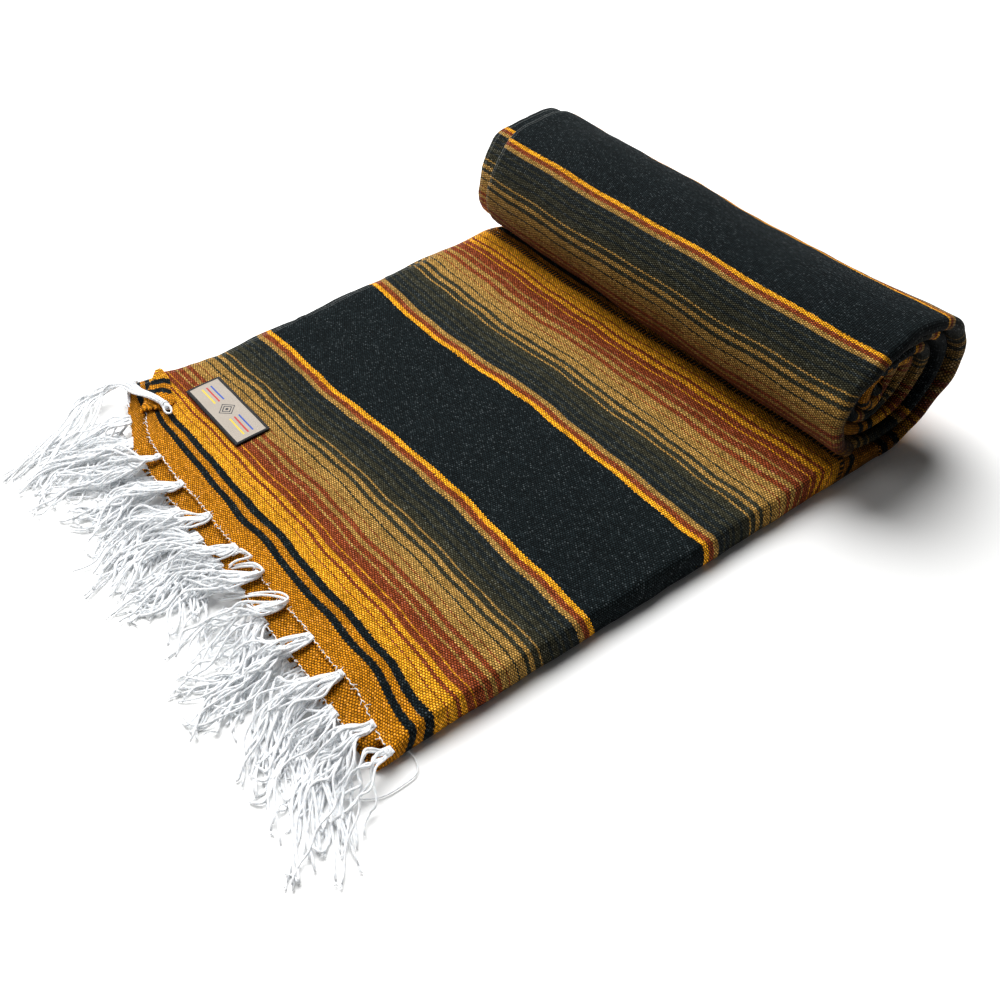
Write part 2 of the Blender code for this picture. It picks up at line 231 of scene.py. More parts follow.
def thicknessAt(y):
    pressed = ease((y - strip["nip"]) / (rollMiddle - strip["nip"]))
    return mix(strip["flatThickness"], strip["rolledThickness"], pressed)


def shareAcross(x):
    # 0 at the strip's -X side, 1 at its +X side
    return (x + strip["halfWidth"]) / (2 * strip["halfWidth"])


def lowerStep(x):
    return mix(strip["lowerStepFar"], strip["lowerStepNear"], shareAcross(x))


def stripeWander(x, y):
    # mm that the stripes are shifted by at a place of the strip
    rows = [smoothTable(x, waver["across"], row["by"]) for row in waver["rows"]]
    places = [row["at"] for row in waver["rows"]]
    total = np.zeros(np.broadcast(x, y).shape)
    for i, row in enumerate(rows):
        weight = np.interp(y, places, [1.0 if k == i else 0.0 for k in range(len(places))])
        total = total + row * ease(weight)
    small = 0.5 * np.sin(x * 61 + y * 33) + 0.35 * np.sin(x * 143 - y * 71 + 1.7)
    return total + small


def dragLower(x, y):
    # where the lower plies' far corner is dragged to, in metres across and along
    share = np.maximum(smoothTable(x * 1000, drag["across"], drag["share"]), 0)
    back = smoothTable(y * 1000, drag["along"], drag["lowerBack"])
    out = smoothTable(y * 1000, drag["along"], drag["lowerOut"])
    return -share ** 1.6 * out / 1000, share * back / 1000


def dragTop(x, y):
    # how far back the top ply's far corner is dragged, in metres
    back = smoothTable(x, drag["topAcross"], drag["topBack"]) / 1000
    return back * smoothTable(y, drag["topAlong"], drag["topShare"])


def topRelief(x, y):
    total = np.zeros(np.broadcast(x, y).shape)
    for crease in creases:
        turn = math.radians(crease["turn"])
        dx, dy = x * 1000 - crease["x"], y * 1000 - crease["y"]
        along = dx * math.cos(turn) + dy * math.sin(turn)
        across = dy * math.cos(turn) - dx * math.sin(turn)
        across = across + relief["creaseBow"] * np.sin(along / relief["creaseBowLength"])
        ridge = np.exp(-(across / crease["wide"]) ** 2) * np.exp(-(along / crease["long"]) ** 4)
        total = total + crease["high"] * ridge
    puckers = np.sin(x * 190 + 2.1 * np.sin(y * 90)) * np.sin(y * 170 + 1.3 * np.sin(x * 70))
    loose = 1 - ease((y - relief["pressedFrom"]) / relief["pressedOver"])
    return (total + relief["fine"] * puckers) / 1000 * loose


def topHeight(x, y):
    # height of the top ply's upper face
    height = thicknessAt(y) + topRelief(x, y)
    height = height - relief["fringedDrop"] * (1 - ease(y / relief["fringedOver"]))
    height = height - relief["selvedgeDrop"] * (1 - ease((x + strip["halfWidth"]) / relief["selvedgeOver"]))
    across, along = relief["cornerOver"]
    droop = ease((x - relief["cornerFrom"]) / across) * (1 - ease(y / along))
    return height - relief["cornerDrop"] * droop


def cornerReach(x):
    # how far the top ply's fringed edge comes forward where its near corner droops
    return relief["cornerReach"] * ease((x - relief["cornerReachFrom"]) / relief["cornerReachOver"])


def rollSize(share):
    left, right = roll["left"], roll["right"]
    return mix(left["centre"], right["centre"], share), mix(left["radius"], right["radius"], share)


def turnPoint(share, angle, inset=0.0, xShift=0.0):
    # A point of the roll. The angle runs from straight down towards +Y, up and over, and on inwards.
    centre, radius = rollSize(share)
    rho = radius - strip["rolledThickness"] * angle / (2 * math.pi) - inset
    lean = np.clip((rho + inset) / radius * roll["walkHeld"], 0, 1)
    x = mix(roll["left"]["x"], roll["right"]["x"], share) + xShift
    x = x + roll["walk"] * (1 - lean * np.cos(angle)) / 2
    y = centre + rho * np.sin(angle) * (1 + roll["flattening"])
    z = (radius - rho * np.cos(angle)) * (1 - roll["flattening"])
    z = z + inset * roll["flattening"] * np.maximum(0.0, np.cos(angle))
    return place(x, y, z)


def makeObject(name, verts, faces, attributes, finish):
    mesh = bpy.data.meshes.new(name)
    mesh.from_pydata(verts.tolist(), [], faces)
    for key, values in attributes.items():
        layer = mesh.attributes.new(key, "FLOAT", "POINT")
        layer.data.foreach_set("value", np.asarray(values, np.float32).ravel())
    mesh.materials.append(finish)
    mesh.shade_smooth()
    mesh.update()
    made = bpy.data.objects.new(name, mesh)
    bpy.context.scene.collection.objects.link(made)
    return made


def clothShell(name, face, attributes, finish, thickness=None, inward=1):
    # A thin closed sheet behind a grid of points, rows x columns, with its rim rounded off.
    thickness = strip["cloth"] if thickness is None else thickness
    rimOut, endSqueeze, endRimOut = 0.8, 0.45, 0.3  # shares of half the thickness
    rows, columns = face.shape[:2]
    # the shade attribute carries painted shade; 1 means none
    if "warpMm" in attributes:
        attributes = {"shade": np.ones((rows, columns)), **attributes}
    down = np.gradient(face, axis=0)
    across = np.gradient(face, axis=1)
    normal = np.cross(across, down) * inward
    normal /= np.maximum(np.linalg.norm(normal, axis=2, keepdims=True), 1e-12)
    across /= np.maximum(np.linalg.norm(across, axis=2, keepdims=True), 1e-12)
    down /= np.maximum(np.linalg.norm(down, axis=2, keepdims=True), 1e-12)
    back = face - normal * thickness
    half = thickness / 2
    lastRim = (face[:, -1] + back[:, -1]) / 2 + across[:, -1] * half * rimOut
    firstRim = (face[:, 0] + back[:, 0]) / 2 - across[:, 0] * half * rimOut
    rings = np.concatenate([face, lastRim[:, None], back[:, ::-1], firstRim[:, None]], axis=1)
    size = 2 * columns + 2

    def endRing(row, sign):
        middle = (face[row] + back[row]) / 2
        end = middle + down[row] * sign * half * rimOut
        upper, lower = [end + (side - middle) * endSqueeze for side in (face[row], back[row])]
        last = (upper[-1] + lower[-1]) / 2 + across[row, -1] * half * endRimOut
        first = (upper[0] + lower[0]) / 2 - across[row, 0] * half * endRimOut
        return np.concatenate([upper, last[None], lower[::-1], first[None]])

    rings = np.concatenate([endRing(0, -1)[None], rings, endRing(-1, 1)[None]])
    faces = []
    for r in range(rows + 1):
        for c in range(size):
            d = (c + 1) % size
            faces.append((r * size + c, r * size + d, (r + 1) * size + d, (r + 1) * size + c))
    for r in (0, rows + 1):
        base = r * size
        for c in range(columns - 1):
            quad = (base + c, base + size - 2 - c, base + size - 3 - c, base + c + 1)
            faces.append(quad if r == 0 else quad[::-1])
        for c, d, e in ((columns - 1, columns, columns + 1), (size - 2, size - 1, 0)):
            tri = (base + c, base + e, base + d) if r == 0 else (base + c, base + d, base + e)
            faces.append(tri)
    spread = {}
    for key, values in attributes.items():
        values = np.broadcast_to(values, (rows, columns))
        wide = np.concatenate([values, values[:, -1:], values[:, ::-1], values[:, :1]], axis=1)
        spread[key] = np.concatenate([wide[:1], wide, wide[-1:]])
    if inward < 0:
        faces = [corners[::-1] for corners in faces]
    return makeObject(name, rings.reshape(-1, 3), faces, spread, finish)


def finishPiece(piece, nodes=()):
    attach(piece, "root")
    if nodes:
        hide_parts(*nodes)
    return piece


def addNode(tree, kind, *inputs, **settings):
    # Adds a shader node and fills or links its inputs, in order or by name. A dot gives the operation.
    kind, _, operation = kind.partition(".")
    made = tree.nodes.new("ShaderNode" + kind)
    if operation:
        made.operation = operation
    for name, value in settings.items():
        if name == "stops":
            ramp = made.color_ramp
            ramp.interpolation = "CONSTANT"
            while len(ramp.elements) < len(value):
                ramp.elements.new(1.0)
            for element, (at, colour) in zip(ramp.elements, value):
                element.position = at
                element.color = colour
        else:
            setattr(made, name, value)
    named = inputs[0] if inputs and isinstance(inputs[0], dict) else dict(enumerate(inputs))
    for socket, value in named.items():
        if isinstance(value, bpy.types.Node):
            value = value.outputs[0]
        if isinstance(value, bpy.types.NodeSocket):
            tree.links.new(value, made.inputs[socket])
        else:
            made.inputs[socket].default_value = value
    return made


def newMaterial(name):
    made = bpy.data.materials.new(name)
    made.use_nodes = True
    tree = made.node_tree
    return made, tree, tree.nodes["Principled BSDF"]


def finishShader(tree, shader, colour, bump, settings):
    tree.links.new(colour.outputs[2], shader.inputs["Base Color"])
    tree.links.new(bump.outputs[0], shader.inputs["Normal"])
    for name, value in settings.items():
        shader.inputs[name].default_value = value


# Weft-faced acrylic, woven on a foot loom: matt and a little woolly. The weft lies in ribs over the
# cotton warp, each rib a row of beads, with painted light on their tops and painted shade in the hollows
# between, and on a few bead tops a pale fleck, partly warp showing through and partly a painted glint.
weave = {
    "ribPitch": 1.6,  # mm from one warp to the next
    "weftPitch": 0.82,  # mm from one weft to the next; the real 0.7 is too fine to show
    "uneven": {  # mm along the weft and along the warp, and detail
        "sway": (9.0, 5.4, 1.0),  # the yarns wander
        "slub": (24.0, 1.5, 2.0),  # thick and thin places of a yarn
        "patch": (30.0, 18.0, 2.0),  # where the cloth was beaten harder
    },
    "ribSway": 0.8,  # mm, of which about a third shows
    "weftSway": 0.5,
    "toothed": 0.4,  # mm that a stripe's edge jumps from rib to rib
    "loose": 0.5,  # mm that it wanders with the slubs
    "hollowPaintedShade": 0.26,  # how bright the hollows are: painted shade
    "beadTopPaintedLight": 2.3,  # what a bead's top adds: painted light
    "slubTone": (0.7, 0.65),  # how much a tone varies, and from what
    "beadTone": (0.9, 0.57),
    "patchTone": (0.3, 0.85),
    # pale flecks on a few bead tops: partly warp showing through, partly painted glint
    "warpFleckAndPaintedGlint": 0.12,
    "warpFleckAndPaintedGlintRarity": 9.0,
    "warpFleckAndPaintedGlintColour": "C9D2D4",
    "selvedgeLines": ((0.5, 0.28), (2.6, 0.22)),  # mm from the selvedge, and half as wide
    "selvedgeLineShare": 0.20,
    "selvedgeLineColour": "A9ACAA",
    "innerPaintedShadeBrightness": 0.85,  # painted shade, since little light gets between the plies
    "rolledPaintedShadeBrightness": 0.23,  # darker painted shade, since less gets into the roll
    "bumpHeight": 0.00050,
    "bumpStrength": 0.9,
    "surface": {"Roughness": 0.92, "Specular IOR Level": 0.05, "Sheen Weight": 0.015},
}


def acrylicWeave(name, paintedShadeBrightness=1.0):
    made, tree, shader = newMaterial(name)
    warp = addNode(tree, "Attribute", attribute_name="warpMm").outputs["Fac"]
    weft = addNode(tree, "Attribute", attribute_name="weftMm").outputs["Fac"]

    uneven = {}
    for kind, (alongWeft, alongWarp, detail) in weave["uneven"].items():
        x = addNode(tree, "Math.DIVIDE", weft, alongWeft)
        y = addNode(tree, "Math.DIVIDE", warp, alongWarp)
        at = {"Vector": addNode(tree, "CombineXYZ", x, y, 0.0), "Scale": 1.0, "Detail": detail}
        uneven[kind] = addNode(tree, "TexNoise", at, noise_dimensions="2D")

    # the yarns sway a little, so the beads don't line up like a grid
    swayedWeft = addNode(tree, "Math.MULTIPLY_ADD", uneven["sway"], weave["ribSway"], weft)
    swayedWarp = addNode(tree, "Math.MULTIPLY_ADD", uneven["sway"], weave["weftSway"], warp)

    # the ribs and the beads along them, half a bead on from rib to rib
    rib = addNode(tree, "Math.SINE", addNode(tree, "Math.MULTIPLY", swayedWeft, math.pi / weave["ribPitch"]))
    row = addNode(tree, "Math.SINE", addNode(tree, "Math.MULTIPLY", swayedWarp, math.pi / weave["weftPitch"]))
    ribHeight = addNode(tree, "Math.ABSOLUTE", rib)
    beads = addNode(tree, "Math.MULTIPLY_ADD", rib, row, ribHeight)
    bead = addNode(tree, "Math.MULTIPLY", beads, 0.5)

    # noise that keeps to the beads
    ribCell = addNode(tree, "Math.FLOOR", addNode(tree, "Math.DIVIDE", swayedWeft, weave["ribPitch"]))
    weftCell = addNode(tree, "Math.FLOOR", addNode(tree, "Math.DIVIDE", swayedWarp, weave["weftPitch"]))
    cell = addNode(tree, "CombineXYZ", ribCell, weftCell, 0.0)
    perBead = addNode(tree, "TexWhiteNoise", {"Vector": cell}, noise_dimensions="2D")

    # the stripes, with toothed edges
    tooth = addNode(tree, "Math.MULTIPLY", addNode(tree, "Math.SIGN", rib), weave["toothed"] / 2)
    looseTooth = addNode(tree, "Math.MULTIPLY_ADD", perBead, weave["toothed"], tooth)
    drift = addNode(tree, "Math.MULTIPLY_ADD", uneven["slub"], weave["loose"], looseTooth)
    shifted = addNode(tree, "Math.SUBTRACT", drift, (weave["loose"] + weave["toothed"]) / 2)
    along = addNode(tree, "Math.ADD", warp, shifted)
    mirrored = addNode(tree, "Math.PINGPONG", along, stripes["mirror"])
    halves = []
    for low, high in ((0.0, stripes["split"]), (stripes["split"], stripes["mirror"])):
        # two ramps, because one holds at most 32 colours
        stops, start = [], 0.0
        for end, colour in stripes["bands"]:
            if start < high and end > low:
                stops.append((max(0.0, (start - low) / (high - low)), linear(stripes["colours"][colour])))
            start = end
        share = addNode(tree, "MapRange", mirrored, low, high, 0.0, 1.0)
        halves.append(addNode(tree, "ValToRGB", share, stops=stops))
    second = addNode(tree, "Math.GREATER_THAN", mirrored, stripes["split"])
    striped = addNode(tree, "Mix", {"Factor": second, 6: halves[0], 7: halves[1]}, data_type="RGBA")

    # one dark stripe is broken into dashes, where two colours were laid pick and pick
    dashed = stripes["dashed"]
    inDashed = addNode(tree, "Math.COMPARE", along, dashed["at"], dashed["halfWidth"])
    dash = addNode(tree, "Math.MULTIPLY", inDashed, addNode(tree, "Math.GREATER_THAN", rib, 0.0))
    dashColour = linear(stripes["colours"][dashed["colour"]])
    striped = addNode(tree, "Mix", {"Factor": dash, 6: striped.outputs[2], 7: dashColour}, data_type="RGBA")

    # tone: painted light on the bead tops and painted shade in the hollows, yarn to yarn, bead to bead and
    # patch to patch, and painted shade from the copy's brightness and the shade attribute
    level = addNode(tree, "Math.MULTIPLY_ADD", bead, weave["beadTopPaintedLight"], weave["hollowPaintedShade"])
    slubTone = addNode(tree, "Math.MULTIPLY_ADD", uneven["slub"], *weave["slubTone"])
    beadTone = addNode(tree, "Math.MULTIPLY_ADD", perBead, *weave["beadTone"])
    varied, middle = weave["patchTone"]
    # painted shade: the inside and roll copies of the weave are darker
    patchTone = addNode(tree, "Math.MULTIPLY_ADD", uneven["patch"], varied, middle * paintedShadeBrightness)
    # painted shade by the nip and round the roll's folded end, from the shade attribute
    shade = addNode(tree, "Attribute", attribute_name="shade").outputs["Fac"]
    tone = level
    for part in (slubTone, beadTone, patchTone, shade):
        tone = addNode(tree, "Math.MULTIPLY", tone, part)
    toned = addNode(tree, "VectorMath.SCALE", {0: striped.outputs[2], "Scale": tone})

    # on a few bead tops a pale fleck: partly warp showing through, partly a painted glint
    rare = addNode(tree, "Math.POWER", perBead, weave["warpFleckAndPaintedGlintRarity"])
    warpFleckAndPaintedGlint = addNode(tree, "Math.MULTIPLY", addNode(tree, "Math.MULTIPLY", rare, bead), weave["warpFleckAndPaintedGlint"])
    warpFleckAndPaintedGlintColour = linear(weave["warpFleckAndPaintedGlintColour"])
    withWarpFlecksAndPaintedGlints = addNode(tree, "Mix", {"Factor": warpFleckAndPaintedGlint, 6: toned, 7: warpFleckAndPaintedGlintColour}, data_type="RGBA")

    # two fine lines of pale warp along the selvedge
    outer, inner = [addNode(tree, "Math.COMPARE", weft, *line) for line in weave["selvedgeLines"]]
    lines = addNode(tree, "Math.ADD", outer, inner)
    lineTone = addNode(tree, "Math.MULTIPLY", beadTone, weave["selvedgeLineShare"])
    lineShare = addNode(tree, "Math.MULTIPLY", lines, lineTone)
    pale = linear(weave["selvedgeLineColour"])
    lined = addNode(tree, "Mix", {"Factor": lineShare, 6: withWarpFlecksAndPaintedGlints.outputs[2], 7: pale}, data_type="RGBA")
    raised = {"Strength": weave["bumpStrength"], "Distance": weave["bumpHeight"], "Height": bead}
    finishShader(tree, shader, lined, addNode(tree, "Bump", raised), weave["surface"])
    return made


# Two-ply cotton yarn, washed soft: bright, matt white, with painted blue-grey shade in the groove between its
# plies.
# A faint painted glow keeps its shaded strands light.
cotton = {
    "colour": "FDFDFD",
    # painted glow: an emission colour that lightens the shaded strands
    "paintedGlow": "E4ECF6",
    # painted shade colour for the groove between the plies
    "shade": "DDE3E8",
    "plyTwist": 4.2,  # mm from one turn of the plies to the next
    "plyDepth": 0.4,  # against the fuzz
    "fuzzScale": 1.6,  # to the mm
    "toneFrom": (-0.3, 0.9),  # heights that are all shade and all colour
    "bumpHeight": 0.0003,
    "bumpStrength": 0.5,
    "surface": {
        "Roughness": 0.85, "Specular IOR Level": 0.2, "Sheen Weight": 0.25, "Subsurface Weight": 0.2,
        # the emission is a painted glow
        "Subsurface Radius": (1.0, 1.0, 1.0), "Subsurface Scale": 0.003, "Emission Strength": 0.04,
    },
}


def cottonYarn(name):
    made, tree, shader = newMaterial(name)
    along = addNode(tree, "Attribute", attribute_name="alongMm").outputs["Fac"]
    around = addNode(tree, "Attribute", attribute_name="around").outputs["Fac"]
    turned = addNode(tree, "Math.MULTIPLY_ADD", along, 2 * math.pi / cotton["plyTwist"], around)
    ply = addNode(tree, "Math.SINE", turned)
    fuzzAt = addNode(tree, "CombineXYZ", along, around, 0.0)
    spread = {"Vector": fuzzAt, "Scale": cotton["fuzzScale"], "Detail": 2.0}
    fuzz = addNode(tree, "TexNoise", spread, noise_dimensions="2D")
    height = addNode(tree, "Math.MULTIPLY_ADD", ply, cotton["plyDepth"], fuzz)
    # painted shade: the groove between the plies takes the blue-grey shade colour
    tone = addNode(tree, "MapRange", height, *cotton["toneFrom"], 0.0, 1.0)
    shade, bright = linear(cotton["shade"]), linear(cotton["colour"])
    colour = addNode(tree, "Mix", {"Factor": tone, 6: shade, 7: bright}, data_type="RGBA")
    raised = {"Strength": cotton["bumpStrength"], "Distance": cotton["bumpHeight"], "Height": height}
    finishShader(tree, shader, colour, addNode(tree, "Bump", raised), cotton["surface"])
    # painted glow, though the yarn is no lamp
    shader.inputs["Emission Color"].default_value = linear(cotton["paintedGlow"])
    return made


# lit and shaded copies of one weave: inside and in the roll it is darkened with painted shade
outerWeave = acrylicWeave("acrylicWeftFacedWeave")
innerWeavePaintedShade = acrylicWeave("acrylicWeftFacedWeavePaintedShadeInside", weave["innerPaintedShadeBrightness"])
rolledWeavePaintedShade = acrylicWeave("acrylicWeftFacedWeavePaintedShadeInTheRoll", weave["rolledPaintedShadeBrightness"])
whiteCotton = cottonYarn("twoPlyCottonYarn")
print("serape: weave and cotton ready")


# The flat part of the outer ply: top, near fold, underside, far fold and its return.
flatPly = {
    "rows": 124,
    "edgeRows": 25,  # closer together, by the fringed edge
    "topColumns": 100,
    "foldColumns": 14,
    "underColumns": 46,
    "farColumns": 10,
    "returnColumns": 4,
    "returnLength": 0.012,
    "flareOver": 0.06,  # how far in the selvedge's flare by the corner is felt
    "boxiness": (0.6, 0.75),  # 1 would be a round fold; a stack of thick plies folds boxier
    "foldWaves": ((0.0005, 118, 0.7), (0.0003, 260, 0.0)),
    "selvedgeWaves": ((0.0007, 150, 1.0), (0.0004, 410, 0.0)),
    "selvedgeWavesFrom": 0.06,
    "selvedgeWavesOver": 0.03,
    "underDrag": 0.4,  # the underside's share of the lower plies' drag
    "nipShade": 0.62,  # how much painted shade darkens it by the nip
    "nipShadeOver": 0.020,
    "nipShadeSlant": 0.008,
    "stopShort": 0.0006,  # where the roll takes over
}


def sectionAcross(y, height):
    # rows of x, share of the height, part of the section and distance from the selvedge, in metres;
    # the parts are 0 for the top, 1 for the near fold and 2 for the rest
    start = float(np.interp(y * 1000, *zip(*drag["cut"]))) / 1000
    crest = strip["halfWidth"] - strip["nearFold"]
    xs = mix(start, crest, np.linspace(0, 1, flatPly["topColumns"]))
    flare = np.minimum(start + strip["halfWidth"], 0) * (1 - ease((xs - start) / flatPly["flareOver"]))
    points = [(x, 1.0, 0, x - out + strip["halfWidth"]) for x, out in zip(xs, flare)]
    far = crest + strip["halfWidth"]
    last = (crest, 1.0)
    outPower, upPower = flatPly["boxiness"]
    for i in range(1, flatPly["foldColumns"] + 1):
        bend = math.pi * i / flatPly["foldColumns"]
        out = strip["nearFold"] * math.sin(bend) ** outPower if i < flatPly["foldColumns"] else 0.0
        share = (1 + math.copysign(abs(math.cos(bend)) ** upPower, math.cos(bend))) / 2
        far += math.hypot(crest + out - last[0], (share - last[1]) * height)
        last = (crest + out, share)
        points.append((*last, 1, far))
    radius = min(strip["farFold"], height / 4)
    turn = -strip["halfWidth"] + radius
    for x in np.linspace(crest, turn, flatPly["underColumns"])[1:]:
        points.append((x, 0.0, 2, far + crest - x))
    far += crest - turn
    for i in range(1, flatPly["farColumns"]):
        bend = math.pi * i / flatPly["farColumns"]
        x, z = turn - radius * math.sin(bend), radius * (1 - math.cos(bend))
        points.append((x, z / height, 2, far + bend * radius))
    far += math.pi * radius
    for x in np.linspace(turn, turn + flatPly["returnLength"], flatPly["returnColumns"]):
        points.append((x, 2 * radius / height, 2, far + x - turn))
    return np.array(points)


def stationsAlong(last, piece):
    # places along the strip for a ply's rows
    edge = strip["settled"]
    close = np.linspace(0, edge, piece["edgeRows"] + 1)[:-1]
    return np.concatenate([close, np.linspace(edge, last, piece["rows"])])


def rollCentreAt(x):
    # where the roll's centre stands along the strip
    return mix(roll["left"]["centre"], roll["right"]["centre"], shareAcross(x))


def buildFlatPly():
    stations = stationsAlong(rollMiddle, flatPly)
    face, warp, weft, shade = [], [], [], []
    for y in stations:
        height = float(thicknessAt(y))
        table = sectionAcross(y, height)
        x, share, kind = table[:, 0], table[:, 1], table[:, 2]
        top = topHeight(x, np.full_like(x, y))
        lift = np.where(kind == 0, top - height, 0.0)
        crestLift = (top - height)[flatPly["topColumns"] - 1]
        lift = np.where(kind == 1, crestLift * share, lift)
        bulge = ripple(y, flatPly["foldWaves"])
        x = x + np.where(kind == 1, bulge * np.maximum(0, np.sin(math.pi * share)) ** 0.5, 0.0)
        nearEdge = np.clip(1 - (x + strip["halfWidth"]) / flatPly["selvedgeWavesOver"], 0, 1) * (kind == 0)
        x = x + ripple(y, flatPly["selvedgeWaves"]) * nearEdge * (y > flatPly["selvedgeWavesFrom"])
        below = np.where(kind == 0, 0.0, 1 - share)
        settle = 1 - ease(y / strip["settled"])
        shift = -lowerStep(x) * below * settle
        shift = shift - cornerReach(x) * (kind < 2) * share * settle
        shift = shift + ripple(x, strip["topEdgeWaves"]) * settle * (kind == 0)
        shift = shift + np.where(kind == 0, dragTop(x, y), 0.0)
        outward, back = dragLower(x, y + shift)
        x = x + flatPly["underDrag"] * outward * (kind == 2)
        shift = shift + back * (kind == 2)
        end = rollCentreAt(x)
        yHere = np.minimum(y * (end - flatPly["stopShort"]) / rollMiddle + shift, end)
        face.append(place(x, yHere, share * height + lift))
        warp.append(y * 1000 - stripeWander(x, y) * np.where(kind == 0, 1.0, share))
        weft.append(table[:, 3] * 1000)
        # painted shade: darker into the nip, where the roll shades it
        intoNip = y - strip["nip"] + flatPly["nipShadeSlant"] * shareAcross(x)
        shade.append(1 - flatPly["nipShade"] * ease(intoNip / flatPly["nipShadeOver"]))
    attributes = {"warpMm": np.array(warp), "weftMm": np.array(weft), "shade": np.array(shade)}
    piece = clothShell("outerPlyFlat", np.array(face), attributes, outerWeave)
    return finishPiece(piece, ["flat_outer_ply"])


# The roll's outer turn: the same ply, carried up the back, over and down into the nip.
outerTurn = {
    "rows": 130,
    "columns": 96,
    "foldColumns": 12,
    "inside": 0.016,  # how far the fold's edge goes in behind it
    "boxiness": 0.85,
    # soft troughs along the roll's top: height in metres, and place and width as shares of its length
    "troughs": ((0.0015, 0.19, 0.08), (-0.0034, 0.66, 0.22)),
    "troughsAt": (2.6, 0.7),  # radians round it, and how far they reach
    "corner": (0.0026, 2.45, 0.42, 0.14),  # its top corner at -X stands up: height, place, reach, share
    "endWaves": ((0.00072, 5.3, 0.5), (0.0004, 11.7, 0.0)),
    "endOver": 0.12,  # share of the length over which the selvedge's stray fades
    "lean": 1.5,  # mm, the stripes lean a little more to the left than the roll does
    # painted shade: it darkens into the nip and round the folded end, where little light comes
    "nipShade": ((0.40, 236, 44), (0.38, 285, 30)),  # how much, from what angle and over how many degrees
    "endShade": 0.80,
    "endShadeBend": 1.7,  # radians of the fold
}


def turnRelief(share, angle):
    # soft troughs along the roll, and the slack where it was wound
    around, reach = outerTurn["troughsAt"]
    trough = sum(high * np.exp(-((share - at) / wide) ** 2) for high, at, wide in outerTurn["troughs"])
    trough = trough * np.exp(-((angle - around) / reach) ** 2)
    dents = 0.0007 * np.sin(share * 9 + angle * 1.7) * np.sin(angle * 2.3 + 1.0)
    dents = dents + 0.0005 * np.sin(share * 21 - angle * 2.9 + 0.6)
    fine = 0.00018 * np.sin(share * 75 + 2 * np.sin(angle * 9)) * np.sin(angle * 17 + share * 5)
    high, around, reach, wide = outerTurn["corner"]
    corner = high * np.exp(-((angle - around) / reach) ** 2) * (1 - ease(share / wide))
    return (trough + dents + fine + corner) * ease(angle / 0.5)


def arcAlong(share, angles):
    # mm of warp used up round the roll from the fringed edge, on the outer face
    fine = np.linspace(0.0, max(float(np.max(angles)), 0.1), 600)
    points = turnPoint(share, fine)
    steps = np.linalg.norm(np.diff(points[:, 1:], axis=0), axis=1)
    far = rollSize(share)[0] + np.concatenate([[0.0], np.cumsum(steps)])
    stray = smoothTable(np.degrees(fine), roll["strayAngles"], roll["stray"])
    stray = stray * np.interp(share, roll["strayShares"], roll["strayBy"])
    return np.interp(angles, fine, far * 1000 + stray)


def buildOuterTurn():
    angles = np.linspace(roll["start"], roll["end"], outerTurn["rows"])
    radius = roll["foldRadius"]
    foldShare = 1 - radius / rollLength
    columns, warp, weft = [], [], []
    bends = [0.0] * outerTurn["columns"]
    shares = list(np.linspace(0, foldShare, outerTurn["columns"]))
    inner = [0.0] * outerTurn["columns"]
    for i in range(1, outerTurn["foldColumns"] + 1):
        bends.append(math.pi * i / outerTurn["foldColumns"])
        shares.append(foldShare)
        inner.append(0.0)
    for i in range(1, 4):
        bends.append(math.pi)
        shares.append(foldShare)
        inner.append(outerTurn["inside"] * i / 3)
    leftEdge = smoothTable(np.degrees(angles), roll["edgeAngles"], roll["outerEdge"]) / 1000
    far = 0.0
    for i, (share, bend, back) in enumerate(zip(shares, bends, inner)):
        inset = radius * (1 - math.cos(bend)) - turnRelief(share, angles)
        out = radius * math.sin(bend) ** outerTurn["boxiness"] - back if bend < math.pi else -back
        edge = leftEdge * (1 - ease(share / outerTurn["endOver"]))
        edge = edge + ripple(angles, outerTurn["endWaves"]) * (bend > 0)
        columns.append(turnPoint(share, angles, inset, out + edge))
        along = arcAlong(share, angles) + outerTurn["lean"] * (1 - 2 * share) * ease(angles / 2)
        warp.append(along - 0.6 * np.sin(share * 13 + angles) - 0.4 * np.sin(share * 29))
        if i:
            step = (shares[i] - shares[i - 1]) * rollLength + (bends[i] - bends[i - 1]) * radius
            far += step + inner[i] - inner[i - 1]
        weft.append(np.full_like(angles, far * 1000))
    # painted shade into the nip and round the folded end
    deep = 1 - sum(by * ease((np.degrees(angles) - at) / over) for by, at, over in outerTurn["nipShade"])
    turnedIn = [min(1.0, bend / outerTurn["endShadeBend"]) for bend in bends]
    shade = np.stack([deep * (1 - outerTurn["endShade"] * turned) for turned in turnedIn], axis=1)
    attributes = {"warpMm": np.stack(warp, axis=1), "weftMm": np.stack(weft, axis=1), "shade": shade}
    piece = clothShell("rollOuterTurn", np.stack(columns, axis=1), attributes, outerWeave, inward=-1)
    return finishPiece(piece, ["roll_outer_turn"])


flatPlyPiece = buildFlatPly()
outerTurnPiece = buildOuterTurn()
print("serape: outer ply laid and rolled")


# The second and third plies under it, one sheet folded at +X. Its selvedge sticks out at -X.
innerPly = {
    "rows": 90,
    "edgeRows": 19,
    "topColumns": 84,
    "foldColumns": 10,
    "underColumns": 30,
    "under": 0.0006,  # clear of the top ply
    "underMean": 0.0003,  # and clear of its mean height, where the top ply stands up
    "above": 0.0005,  # clear of the underside
    "foldIn": 0.0125,  # how far its fold's crest stands in from the top ply's
    "selvedgeWaves": ((0.0012, 88, 0.4),),
    "selvedgeDrop": 0.0025,
    "selvedgeDropOver": 0.013,
    "bandTo": (0.003, 0.016),  # where the band past the top ply's edge ends, and over how much
    "bandWithin": 0.02,
    "edgeDrop": 0.0010,  # the fringed edge itself sinks
    "edgeDropOver": 0.004,
    "underStop": 0.018,  # where its underside ends, in from the strip's side
    "underRise": 0.0042,
    "underRiseOver": 0.03,
    "underBack": 0.0025,  # how far its underside's fringed edge stands back
    "wander": 0.7,  # share of the top ply's stripes' wander
    "shorter": 0.001,
    "stopShort": 0.0012,
}


